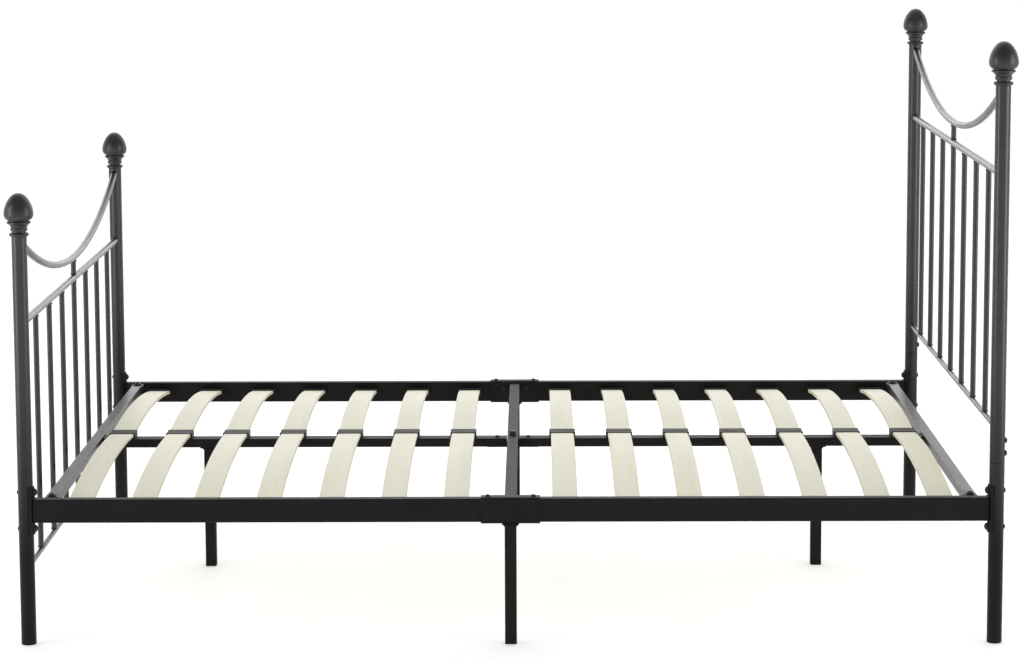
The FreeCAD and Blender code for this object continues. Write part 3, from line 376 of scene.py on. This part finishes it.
def hex_head(radius, height):
    """A hexagon head on a thin round washer."""
    brim = 0.2 * height
    washer = lathe([(0, 0), (radius, 0), (radius, 0.16 * height), (0.97 * radius, brim), (0, brim)], 32)
    corners = 0.92 * radius
    prism = bmesh.new()
    bmesh.ops.create_cone(prism, cap_ends=True, segments=6, radius1=corners, radius2=corners,
                          depth=0.8 * height)
    bmesh.ops.translate(prism, vec=(0, 0, 0.6 * height), verts=prism.verts)
    tops = [rim for rim in prism.edges if all(point.co.z > 0.9 * height for point in rim.verts)]
    bmesh.ops.bevel(prism, geom=tops, offset=0.12 * height, segments=2, profile=0.5,
                    affect="EDGES", material=-1)
    return joined([washer, settle(prism)])


def joined(shapes):
    """Several shapes as one."""
    whole = bmesh.new()
    for shape in shapes:
        mesh = bpy.data.meshes.new("shape")
        shape.to_mesh(mesh)
        shape.free()
        whole.from_mesh(mesh)
        bpy.data.meshes.remove(mesh)
    return whole


def piece(name, shapes, material, slot, *nodes):
    """A finished piece that rides with the bed and stands for CAD nodes."""
    whole = joined(shapes)
    mesh = bpy.data.meshes.new(name)
    whole.to_mesh(mesh)
    whole.free()
    mesh.shade_smooth()
    mesh.set_sharp_from_angle(angle=SHARP_EDGE)
    mesh.materials.append(material)
    made = bpy.data.objects.new(name, mesh)
    bpy.context.scene.collection.objects.link(made)
    shading = made.modifiers.new("flat_faces_stay_flat", "WEIGHTED_NORMAL")
    shading.keep_sharp = True
    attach(made, "root")
    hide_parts(*nodes)
    return made


def middle(node):
    """The middle of a CAD node's box."""
    low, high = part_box(node)
    return (low + high) / 2


# ---------------------------------------------------------------- places taken from the frame

HEAD_X = middle("headboard_post_left").x
SIDE_Y = middle("headboard_post_left").y
POST_TOP = {end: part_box(f"{end}_post_left")[1].z for end in ENDS}
LEG_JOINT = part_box("headboard_post_left")[0].z
RAIL_LOW, RAIL_HIGH = 263 * MM, 313 * MM
RAIL_MIDDLE = (RAIL_LOW + RAIL_HIGH) / 2
RAIL_HALF = 12.5 * MM                 # half a side rail's width
SQUARE_HALF = 12.5 * MM               # half the width of the crossbar, end rails and legs
PLATE = 3 * MM
END_RAIL_X = middle("end_rail_headboard").x
TAB_HALF = 15 * MM
TAB_TOP = RAIL_HIGH - 3 * MM
SHELF_TOP = TAB_TOP - PLATE
BEAM_LOW, BEAM_HIGH = 285 * MM, 305 * MM
BEAM_HALF = 20 * MM


# ---------------------------------------------------------------- posts and finials

def finial_outline():
    """Half of the turned finial, upward from the post's top."""
    ring = arc((POST_RADIUS + 0.7 * MM, 4 * MM), 4 * MM, -90, 90, 8)
    collar = arc((10.73 * MM, 15 * MM), 7.27 * MM, -33, 33, 6)
    rim = arc((24 * MM, 28.8 * MM), 1.2 * MM, -60, 0, 3) + arc((24 * MM, 30.2 * MM), 1.2 * MM, 0, 70, 4)
    egg_foot = arc((16.7 * MM, 46.5 * MM), 14.17 * MM, -57.5, 0, 10)
    flank = arc((-23.1 * MM, 46.5 * MM), 53.97 * MM, 0, 44.5, 16)
    tip = arc((0, 69.19 * MM), 21.58 * MM, 44.5, 90, 10)
    outline = [(0, 0), (POST_RADIUS, 0)] + ring + [(14 * MM, 8.2 * MM), (14 * MM, 10.8 * MM)]
    outline += collar + [(17.1 * MM, 20 * MM), (18.6 * MM, 22.6 * MM), (21.6 * MM, 26 * MM)] + rim
    outline += [(22 * MM, 32.4 * MM), (21.6 * MM, 34.2 * MM)] + egg_foot + flank[1:] + tip[1:-1]
    return outline + [(0, 90.77 * MM)]


def make_posts():
    for side, across in SIDES.items():
        y = across * SIDE_Y
        for end, along in ENDS.items():
            low = LEG_JOINT + 0.4 * MM if end == "headboard" else FOOT_GAP
            name = f"{end}_post_{side}"
            tube = round_bar(POST_RADIUS, POST_TOP[end] - low, 0.6 * MM, 56)
            piece(name + "_tube", [put(tube, (along * HEAD_X, y, low))], POST_COAT, "powder_coat", name)
            finial = f"{end}_finial_{side}"
            turned = put(lathe(finial_outline(), 72), (along * HEAD_X, y, POST_TOP[end]))
            piece(finial + "_turned", [turned], CAST_COAT, "cast_finial", finial)
        leg = round_bar(POST_RADIUS, LEG_JOINT - FOOT_GAP, 1.1 * MM, 56)
        spigot_half = 15 * MM
        spigot = round_bar(14.2 * MM, 2 * spigot_half)
        piece(f"headboard_leg_{side}_tube",
              [put(leg, (HEAD_X, y, FOOT_GAP)), put(spigot, (HEAD_X, y, LEG_JOINT - spigot_half))],
              POST_COAT, "powder_coat", f"headboard_leg_{side}")
    caps = []
    for along in ENDS.values():
        for across in SIDES.values():
            cap = lathe([(0, 0), (14.2 * MM, 0), (15.4 * MM, 0.5 * MM), (POST_RADIUS, 1.4 * MM),
                         (POST_RADIUS, 3.8 * MM), (14 * MM, 4 * MM), (14 * MM, 9 * MM), (0, 9 * MM)], 48)
            caps.append(put(cap, (along * HEAD_X, across * SIDE_Y, 0)))
    piece("post_foot_caps_moulded", caps, FOOT_PLASTIC, "black_plastic", "post_foot_caps")


# ---------------------------------------------------------------- round tubes of each end

SWAG_SAG = 128.5 * MM
SWAG_TO_POST = 0.978      # the part of the swag's half bend that lies between the posts
SPINDLES = 7
SUNK = 1.2 * MM           # how far an upright's end is sunk into the rail it is welded to


def make_swag(end, x, bottom):
    """The tube that dips between the posts. bottom is the height of its middle line at mid-bed."""
    bend = (SIDE_Y ** 2 + SWAG_SAG ** 2) / (2 * SWAG_SAG)
    wrap = 2 * math.asin((SIDE_Y - 13 * MM) / bend)
    section = bmesh.new()
    bmesh.ops.create_circle(section, cap_ends=True, segments=32, radius=ROUND_RAIL_RADIUS)
    shapes = [put(bent_bar(section, bend, wrap, 96), (x, 0, bottom))]
    lean = wrap / 2 * SWAG_TO_POST
    for seed, across in zip((3, 4), SIDES.values()):
        bead = weld_bead(ROUND_RAIL_RADIUS + 0.5 * MM, WELD, seed)
        turn = Matrix.Rotation(-across * (math.pi / 2 - lean), 4, "X")
        place = Vector((x, across * (SIDE_Y - POST_RADIUS - 0.3 * MM),
                        bottom + bend * (1 - math.cos(lean))))
        bmesh.ops.transform(bead, matrix=Matrix.Translation(place) @ turn, verts=bead.verts)
        shapes.append(bead)
    piece(f"{end}_swag_tube", shapes, END_COAT, "powder_coat", f"{end}_swag")


def upright(x, y, bottom, top, seeds, top_weld=WELD):
    """A thin upright tube with a weld bead round each end."""
    bead_radius = THIN_RADIUS + 0.3 * MM
    return [put(round_bar(THIN_RADIUS, top - bottom, steps=32), (x, y, bottom)),
            put(weld_bead(bead_radius, WELD, seeds[0]), (x, y, bottom + 1.6 * MM)),
            put(weld_bead(bead_radius, top_weld, seeds[1]), (x, y, top - 1.6 * MM))]


def make_end_frame(end, along):
    x = along * HEAD_X
    swag_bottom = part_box(f"{end}_swag")[0].z + ROUND_RAIL_RADIUS
    top_rail = middle(f"{end}_top_rail").z
    low_rail = middle(f"{end}_bottom_rail").z
    make_swag(end, x, swag_bottom)

    reach = SIDE_Y - POST_RADIUS + 1.5 * MM
    for rail, radius, height, seed in (("top_rail", ROUND_RAIL_RADIUS, top_rail, 11),
                                       ("bottom_rail", THIN_RADIUS, low_rail, 17)):
        tube = put(round_bar(radius, 2 * reach), (x, -reach, height), "y")
        beads = [put(weld_bead(radius + 0.5 * MM, WELD, seed + across),
                     (x, across * (SIDE_Y - POST_RADIUS + 0.4 * MM), height), "y")
                 for across in SIDES.values()]
        piece(f"{end}_{rail}_tube", [tube] + beads, END_COAT, "powder_coat", f"{end}_{rail}")

    spindle_low, spindle_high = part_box(f"{end}_spindles")
    pitch = (spindle_high.y - spindle_low.y - 2 * THIN_RADIUS) / (SPINDLES - 1)
    bottom = low_rail + THIN_RADIUS - SUNK
    top = top_rail - ROUND_RAIL_RADIUS + SUNK
    spindles = []
    for index in range(SPINDLES):
        y = (index - (SPINDLES - 1) / 2) * pitch
        spindles += upright(x, y, bottom, top, (index, 20 + index), 1.4 * MM)
    piece(f"{end}_spindle_tubes", spindles, END_COAT, "powder_coat", f"{end}_spindles")

    stub = upright(x, 0, top_rail + ROUND_RAIL_RADIUS - SUNK, swag_bottom - ROUND_RAIL_RADIUS + SUNK,
                   (31, 32))
    piece(f"{end}_stub_tube", stub, END_COAT, "powder_coat", f"{end}_stub")


# ---------------------------------------------------------------- side rails and joiners

SADDLE_WRAP = math.radians(130)
SADDLE_WALL = 3 * MM
SADDLE_HEIGHT = 102 * MM


def seam(radius, length):
    """A straight run of weld."""
    return round_bar(radius, length, 1 * MM, 10)


def saddle(along):
    """A curved plate that hugs a post, on the side that faces mid-bed."""
    plate = bmesh.new()
    strip = bmesh.ops.create_grid(plate, x_segments=1, y_segments=1, size=0.5)
    bmesh.ops.scale(plate, vec=(SADDLE_WALL, SADDLE_HEIGHT, 1), verts=strip["verts"])
    bmesh.ops.bevel(plate, geom=strip["verts"], offset=1 * MM, segments=2, profile=0.5,
                    affect="VERTICES", material=-1)
    bmesh.ops.rotate(plate, matrix=Matrix.Rotation(math.radians(90), 3, "X"), cent=(0, 0, 0),
                     verts=plate.verts)
    bmesh.ops.translate(plate, vec=(POST_RADIUS + SADDLE_WALL / 2, 0, 0), verts=plate.verts)
    bmesh.ops.rotate(plate, matrix=Matrix.Rotation(-SADDLE_WRAP / 2, 3, "Z"), cent=(0, 0, 0),
                     verts=plate.verts)
    bmesh.ops.spin(plate, geom=plate.verts[:] + plate.edges[:] + plate.faces[:], cent=(0, 0, 0),
                   axis=(0, 0, 1), angle=SADDLE_WRAP, steps=24)
    if along > 0:
        bmesh.ops.rotate(plate, matrix=Matrix.Rotation(math.pi, 3, "Z"), cent=(0, 0, 0),
                         verts=plate.verts)
    return settle(plate)


def make_side_rails():
    near, far = 0.5 * MM, HEAD_X - POST_RADIUS - 1.5 * MM
    inner = SIDE_Y - RAIL_HALF
    for end, along in ENDS.items():
        for side, across in SIDES.items():
            y = across * SIDE_Y
            low_x, high_x = sorted((along * near, along * far))
            tube = box_bar((low_x, y - RAIL_HALF, RAIL_LOW), (high_x, y + RAIL_HALF, RAIL_HIGH), "x")
            plate = put(saddle(along), (along * HEAD_X, y, RAIL_MIDDLE))
            seam_x = along * (HEAD_X - POST_RADIUS - SADDLE_WALL + 0.2 * MM)
            seams = []
            for height in (RAIL_LOW, RAIL_HIGH):
                seams.append(put(seam(1.8 * MM, 2 * RAIL_HALF - 3 * MM),
                                 (seam_x, y - RAIL_HALF + 1.5 * MM, height), "y"))
            for edge in (-1, 1):
                seams.append(put(seam(WELD, RAIL_HIGH - RAIL_LOW - 4 * MM),
                                 (seam_x - along * WELD, y + edge * RAIL_HALF, RAIL_LOW + 2 * MM)))
            shelf = []
            for reach, low_z in ((33 * MM, SHELF_TOP - PLATE), (PLATE, SHELF_TOP - 24 * MM)):
                edges = sorted((across * (inner - reach), across * (inner + 0.4 * MM)))
                shelf.append(soft_block((along * END_RAIL_X - TAB_HALF, edges[0], low_z),
                                        (along * END_RAIL_X + TAB_HALF, edges[1], SHELF_TOP), 0.8 * MM))
            node = f"side_rail_{end}_{side}"
            piece(node + "_welded", [tube, plate] + seams + shelf, BASE_COAT, "powder_coat", node)


def make_joiners():
    for side, across in SIDES.items():
        node = f"rail_joiner_{side}"
        low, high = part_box(node)
        sleeve = box_bar(low, high, "x", corner=4 * MM, hollow=2.4 * MM)
        piece(node + "_sleeve", [sleeve], BASE_COAT, "powder_coat", node)


# ---------------------------------------------------------------- crossbar, beam and end rails

def make_crossbar():
    low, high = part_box("crossbar")
    face = high.y - PLATE
    shapes = [box_bar((-SQUARE_HALF, low.y + PLATE, BEAM_LOW),
                      (SQUARE_HALF, face, BEAM_LOW + 2 * SQUARE_HALF), "y")]
    for across in SIDES.values():
        inner, outer = sorted((across * face, across * high.y))
        shapes.append(soft_block((low.x, inner, low.z), (high.x, outer, high.z), 0.9 * MM))
        for along in ENDS.values():
            shapes.append(put(seam(1.7 * MM, 21 * MM),
                              (along * SQUARE_HALF, across * (face - 0.3 * MM), BEAM_LOW + 2 * MM)))
    piece("crossbar_welded", shapes, BASE_COAT, "powder_coat", "crossbar")


def make_beams():
    for end in ENDS:
        node = f"centre_beam_{end}"
        low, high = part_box(node)
        piece(node + "_tube", [box_bar(low, high, "x")], BASE_COAT, "powder_coat", node)
    low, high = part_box("beam_cradle")
    piece("beam_cradle_plate", [soft_block(low, high, 0.9 * MM)], BASE_COAT, "powder_coat", "beam_cradle")


def flattened_bar(x, reach):
    """A box tube along Y whose two ends are pressed flat into tabs. reach is the tab's end."""
    wide, tall = 2 * SQUARE_HALF, 20 * MM
    bar_middle = RAIL_HIGH - tall / 2
    tab_middle = TAB_TOP - PLATE / 2
    half = [(0, wide, tall, bar_middle), (reach - 50 * MM, wide, tall, bar_middle),
            (reach - 31 * MM, 2 * TAB_HALF, PLATE, tab_middle), (reach, 2 * TAB_HALF, PLATE, tab_middle)]
    stations = [(-y, *size) for y, *size in reversed(half)] + half[1:]
    shape = rounded_section(1, 1, 0.09)
    bmesh.ops.rotate(shape, matrix=Matrix.Rotation(math.pi / 2, 3, "X"), cent=(0, 0, 0),
                     verts=shape.verts)
    face = shape.faces[:]
    rings = [(shape.verts[:], stations[0])]
    for station in stations[1:]:
        made = bmesh.ops.extrude_face_region(shape, geom=face)["geom"]
        if len(rings) > 1:
            bmesh.ops.delete(shape, geom=face, context="FACES_ONLY")
        face = [item for item in made if isinstance(item, bmesh.types.BMFace)]
        rings.append(([item for item in made if isinstance(item, bmesh.types.BMVert)], station))
    for ring, (y, width, height, z) in rings:
        for point in ring:
            point.co = Vector((x + point.co.x * width, y, z + point.co.z * height))
    return settle(shape)


def make_end_rails():
    for end in ENDS:
        node = f"end_rail_{end}"
        bar = flattened_bar(middle(node).x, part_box(node)[1].y)
        piece(node + "_tube", [bar], CROSS_COAT, "powder_coat", node)
    face = END_RAIL_X - SQUARE_HALF
    mouth = face - 14.5 * MM
    wall = 2.5 * MM
    flange_half = 23.5 * MM
    flange_wall = wall + 0.4 * MM
    shoes = []
    for along in ENDS.values():
        low_x, high_x = sorted((along * mouth, along * face))
        shoes.append(soft_block((low_x, -BEAM_HALF - wall, BEAM_LOW - wall),
                                (high_x, BEAM_HALF + wall, BEAM_HIGH + wall), 1.1 * MM))
        low_x, high_x = sorted((along * (face - 4 * MM), along * (face + 0.3 * MM)))
        shoes.append(soft_block((low_x, -flange_half, BEAM_LOW - flange_wall),
                                (high_x, flange_half, BEAM_HIGH + flange_wall), 0.8 * MM))
    piece("beam_end_shoes", shoes, PLASTIC, "black_plastic", "beam_end_clips")


# ---------------------------------------------------------------- legs

def make_legs():
    foot = 4 * MM
    bead = 2.6 * MM           # how far the weld under a leg's plate stands out
    caps = []
    for node in ("rail_leg_left", "rail_leg_right", "beam_leg_headboard", "beam_leg_footboard"):
        low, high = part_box(node)
        x, y = (low.x + high.x) / 2, (low.y + high.y) / 2
        near = Vector((x - SQUARE_HALF, y - SQUARE_HALF, 0))
        far = Vector((x + SQUARE_HALF, y + SQUARE_HALF, 0))
        under = (BEAM_LOW if node.startswith("beam") else high.z) - PLATE
        tube = box_bar(near + Vector((0, 0, foot - 0.4 * MM)), far + Vector((0, 0, under + 0.5 * MM)))
        top = soft_block((low.x, low.y, under), (high.x, high.y, under + PLATE), 0.9 * MM)
        weld = box_bar(near + Vector((-bead, -bead, under - 3.4 * MM)),
                       far + Vector((bead, bead, under + 0.4 * MM)), "z", corner=4.5 * MM, edge=1.8 * MM)
        piece(node + "_welded", [tube, top, weld], BASE_COAT, "powder_coat", node)
        caps.append(box_bar(near, far + Vector((0, 0, foot)), "z", corner=3 * MM, edge=0.9 * MM))
    piece("leg_foot_caps_moulded", caps, FOOT_PLASTIC, "black_plastic", "leg_foot_caps")


# ---------------------------------------------------------------- slats and their holders

SLAT_NODES = [f"slat_row_{row:02d}" for row in range(1, 15)]
SLAT_THICKNESS = 8 * MM
SLAT_CAMBER = 20 * MM
SLAT_INNER_Y = 6 * MM
SLAT_INNER_Z = 312.7 * MM     # middle of a slat's inner end, on the beam


def half_slat(low, high, across):
    """One bowed half-slat on the left (across = 1) or right side of the bed."""
    outer_z = low.z + SLAT_THICKNESS / 2
    run, fall = high.y - SLAT_INNER_Y, SLAT_INNER_Z - outer_z
    chord = math.hypot(run, fall)
    bend = (chord ** 2 / 4 + SLAT_CAMBER ** 2) / (2 * SLAT_CAMBER)
    wrap = 2 * math.asin(chord / 2 / bend)
    section = rounded_section(high.x - low.x, SLAT_THICKNESS, 1.6 * MM, 3)
    ply = section.verts.layers.float.new("ply")
    for point in section.verts:
        point[ply] = point.co.y / SLAT_THICKNESS
    slat = bent_bar(section, -bend, -wrap, 36)
    lean = Matrix.Rotation(-math.atan2(fall, run), 4, "X")
    bow = Matrix.Translation((0, 0, SLAT_CAMBER))
    place = Matrix.Translation(((low.x + high.x) / 2, (SLAT_INNER_Y + high.y) / 2,
                                (SLAT_INNER_Z + outer_z) / 2))
    bmesh.ops.transform(slat, matrix=place @ lean @ bow, verts=slat.verts)
    if across < 0:
        bmesh.ops.scale(slat, vec=(1, -1, 1), verts=slat.verts)
    return settle(slat)


def make_slats():
    for node in SLAT_NODES:
        low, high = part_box(node)
        piece(node + "_birch", [half_slat(low, high, across) for across in SIDES.values()],
              BIRCH, "birch_slat", node)


def double_cap(x, low, high):
    """The moulding on the beam: two sockets back to back, with a raised rib between them."""
    half = 29.5 * MM
    rib_half = 3 * MM
    lip_half = 1.8 * MM
    body = soft_block((x - half, low.y, BEAM_HIGH), (x + half, high.y, high.z - 0.6 * MM), 1.3 * MM)
    rib = soft_block((x - half + 1 * MM, -rib_half, BEAM_HIGH + 1 * MM),
                     (x + half - 1 * MM, rib_half, high.z), 0.8 * MM)
    lips = [soft_block((x - half - 0.6 * MM, across * BEAM_HALF - lip_half, BEAM_HIGH),
                       (x + half + 0.6 * MM, across * BEAM_HALF + lip_half, high.z), 0.8 * MM)
            for across in (-1, 1)]
    return [body, rib] + lips


def end_holder(x, across, low, high):
    """The socket on a side rail that takes a slat's outer end, with a lip round its mouth."""
    half = 30 * MM
    inner = SIDE_Y - RAIL_HALF
    mouth = inner - 24 * MM
    near, far = sorted((across * mouth, across * inner))
    body = soft_block((x - half + 0.8 * MM, near, low.z + 0.6 * MM),
                      (x + half - 0.8 * MM, far, high.z - 0.6 * MM), 1.6 * MM)
    lip_near, lip_far = sorted((across * mouth, across * (mouth + 4 * MM)))
    lip = soft_block((x - half, lip_near, low.z), (x + half, lip_far, high.z), 1 * MM)
    return [body, lip]


def make_slat_holders():
    cap_low, cap_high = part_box("slat_centre_caps")
    holder_low, holder_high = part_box("slat_end_holders")
    caps = []
    holders = []
    for node in SLAT_NODES:
        x = middle(node).x
        caps += double_cap(x, cap_low, cap_high)
        for across in SIDES.values():
            holders += end_holder(x, across, holder_low, holder_high)
    piece("slat_centre_caps_moulded", caps, PLASTIC, "black_plastic", "slat_centre_caps")
    piece("slat_end_holders_moulded", holders, PLASTIC, "black_plastic", "slat_end_holders")


# ---------------------------------------------------------------- bolts and screws

CORNERS = [(along, across) for along in ENDS.values() for across in SIDES.values()]


def bolt_piece(name, shapes, node):
    piece(name, shapes, SCREW, "black_fastener", node)


def make_post_bolts():
    shapes = []
    for along, across in CORNERS:
        y = across * SIDE_Y
        for height in (RAIL_MIDDLE - 39 * MM, RAIL_MIDDLE + 39 * MM):
            inward = "-x" if along > 0 else "x"
            head_x = along * (HEAD_X - POST_RADIUS - SADDLE_WALL + 1 * MM)
            shapes.append(put(button_head(8 * MM, 6.5 * MM), (head_x, y, height), inward))
            if along > 0:
                shapes.append(put(button_head(5.5 * MM, 3.4 * MM),
                                  (HEAD_X + POST_RADIUS - 0.5 * MM, y, height), "x"))
            else:
                shapes.append(put(round_bar(4 * MM, 3 * MM, 0.5 * MM, 24),
                                  (1.5 * MM - HEAD_X - POST_RADIUS, y, height), "-x"))
    bolt_piece("post_bolt_heads", shapes, "post_bolts")


def make_leg_screws():
    low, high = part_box("leg_joint_screws")
    head = 6.5 * MM
    shapes = []
    for across in SIDES.values():
        for height in (low.z + head, high.z - head):
            shapes.append(put(button_head(head, 5.4 * MM),
                              (HEAD_X + POST_RADIUS - 0.9 * MM, across * SIDE_Y, height), "x"))
    bolt_piece("leg_joint_screw_heads", shapes, "leg_joint_screws")


def make_joiner_bolts():
    joiner_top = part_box("rail_joiner_left")[1].z
    plate_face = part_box("crossbar")[1].y - PLATE
    shapes = []
    for along, across in CORNERS:
        shapes.append(put(button_head(5.5 * MM, 4 * MM),
                          (along * 48 * MM, across * SIDE_Y, joiner_top - 0.1 * MM)))
        shapes.append(put(hex_head(5.5 * MM, 4 * MM),
                          (along * 28 * MM, across * plate_face, BEAM_LOW + SQUARE_HALF),
                          "-y" if across > 0 else "y"))
    bolt_piece("joiner_bolt_heads", shapes, "joiner_bolts")


def make_end_rail_bolts():
    bolt_y = SIDE_Y - RAIL_HALF - 18 * MM
    inner, outer = 13.6 * MM, 14 * MM
    shapes = []
    for along, across in CORNERS:
        at = Vector((along * END_RAIL_X, across * bolt_y, 0))
        washer = lathe([(0, 0), (inner, 0), (outer, 0.4 * MM), (outer, 1.1 * MM),
                        (inner, 1.5 * MM), (0, 1.5 * MM)], 40)
        shapes.append(put(washer, at + Vector((0, 0, TAB_TOP))))
        shapes.append(put(button_head(9 * MM, 6.1 * MM), at + Vector((0, 0, TAB_TOP + 1.4 * MM))))
        shapes.append(put(hex_head(9 * MM, 4 * MM), at + Vector((0, 0, SHELF_TOP - PLATE)), "-z"))
    bolt_piece("end_rail_bolt_heads", shapes, "end_rail_bolts")


def make_beam_bolts():
    shapes = [put(hex_head(9 * MM, 10 * MM), (0, 0, BEAM_LOW + 2 * SQUARE_HALF)),
              put(round_bar(4 * MM, 2.2 * MM, 0.4 * MM, 24), (0, 0, BEAM_LOW - PLATE))]
    for along in ENDS.values():
        x = along * 36 * MM
        shapes.append(put(button_head(5.5 * MM, 4.1 * MM), (x, 0, BEAM_HIGH - 0.1 * MM)))
        shapes.append(put(round_bar(3 * MM, 2.2 * MM, 0.4 * MM, 24), (x, 0, BEAM_LOW - PLATE)))
    bolt_piece("beam_bolt_heads", shapes, "beam_bolts")


# ---------------------------------------------------------------- floor, light and camera

FLOOR_SHADE = (0.86, 0.86, 0.86, 1)
FLOOR_GLOW = 0.35
WHITE = (1, 1, 1, 1)


def make_floor():
    floor_mesh = bpy.data.meshes.new("studio_floor")
    sheet = bmesh.new()
    bmesh.ops.create_grid(sheet, x_segments=1, y_segments=1, size=60)
    sheet.to_mesh(floor_mesh)
    sheet.free()
    floor = bpy.data.objects.new("studio_floor", floor_mesh)
    bpy.context.scene.collection.objects.link(floor)
    finish = Finish("pale_floor", 0.9, specular=0.1)
    finish.shader.inputs["Base Color"].default_value = FLOOR_SHADE
    finish.shader.inputs["Emission Color"].default_value = WHITE
    finish.shader.inputs["Emission Strength"].default_value = FLOOR_GLOW
    floor_mesh.materials.append(finish.material)


def area_light(name, at, toward, size, power):
    light = bpy.data.lights.new(name, "AREA")
    light.shape = "RECTANGLE"
    light.size, light.size_y = size
    light.energy = power
    lamp = bpy.data.objects.new(name, light)
    lamp.location = at
    lamp.rotation_euler = (Vector(toward) - Vector(at)).to_track_quat("-Z", "Y").to_euler()
    bpy.context.scene.collection.objects.link(lamp)


def make_light():
    """A sky that is brighter behind the bed than in front of it, and white all round near the
    horizon, with a softbox on each side and a weak light overhead."""
    world = bpy.data.worlds.new("studio")
    world.use_nodes = True
    tree = world.node_tree
    background = tree.nodes["Background"]
    background.inputs["Color"].default_value = WHITE
    place = tree.nodes.new("ShaderNodeTexCoord")
    split = tree.nodes.new("ShaderNodeSeparateXYZ")
    tree.links.new(place.outputs["Generated"], split.inputs["Vector"])
    brighter = tree.nodes.new("ShaderNodeMath")
    brighter.operation = "MAXIMUM"
    tree.links.new(remap(tree, split.outputs["Y"], (-0.1, 0.9), (0.3, 2.1)), brighter.inputs[0])
    tree.links.new(remap(tree, split.outputs["Z"], (0.12, 0.3), (1.1, 0)), brighter.inputs[1])
    tree.links.new(brighter.outputs[0], background.inputs["Strength"])
    bpy.context.scene.world = world
    area_light("softbox_left", at=(4.2, -2.2, 1.3), toward=(0, 0, 0.7), size=(1.6, 2.6), power=60)
    area_light("softbox_right", at=(-4.2, -2.2, 1.3), toward=(0, 0, 0.7), size=(1.6, 2.6), power=60)
    area_light("overhead", at=(0, 0.8, 4.5), toward=(0, 0, 0.3), size=(5, 4), power=25)


CAMERA_AT = (0.0520, -6.8534, 1.6243)
CAMERA_LENS = 104.67
CAMERA_SHIFT = -0.08
CAMERA_PITCH = math.radians(7.269)    # tilted down
CAMERA_YAW = math.radians(0.436)
CAMERA_ROLL = math.radians(-0.223)


def make_camera():
    data = bpy.data.cameras.new("camera")
    data.lens = CAMERA_LENS
    data.sensor_width = 36
    data.clip_end = 200
    data.shift_y = CAMERA_SHIFT
    camera = bpy.data.objects.new("camera", data)
    bpy.context.scene.collection.objects.link(camera)
    camera.location = CAMERA_AT
    aim = Matrix.Rotation(CAMERA_YAW, 3, "Z") @ Matrix.Rotation(math.pi / 2 - CAMERA_PITCH, 3, "X")
    camera.rotation_euler = (aim @ Matrix.Rotation(CAMERA_ROLL, 3, "Z")).to_euler()
    bpy.context.scene.camera = camera


make_posts()
for end_name, direction in ENDS.items():
    make_end_frame(end_name, direction)
make_side_rails()
make_joiners()
make_crossbar()
make_beams()
make_end_rails()
make_legs()
make_slats()
make_slat_holders()
make_post_bolts()
make_leg_screws()
make_joiner_bolts()
make_end_rail_bolts()
make_beam_bolts()
make_floor()
make_light()
make_camera()
bpy.context.scene.view_settings.view_transform = "Standard"
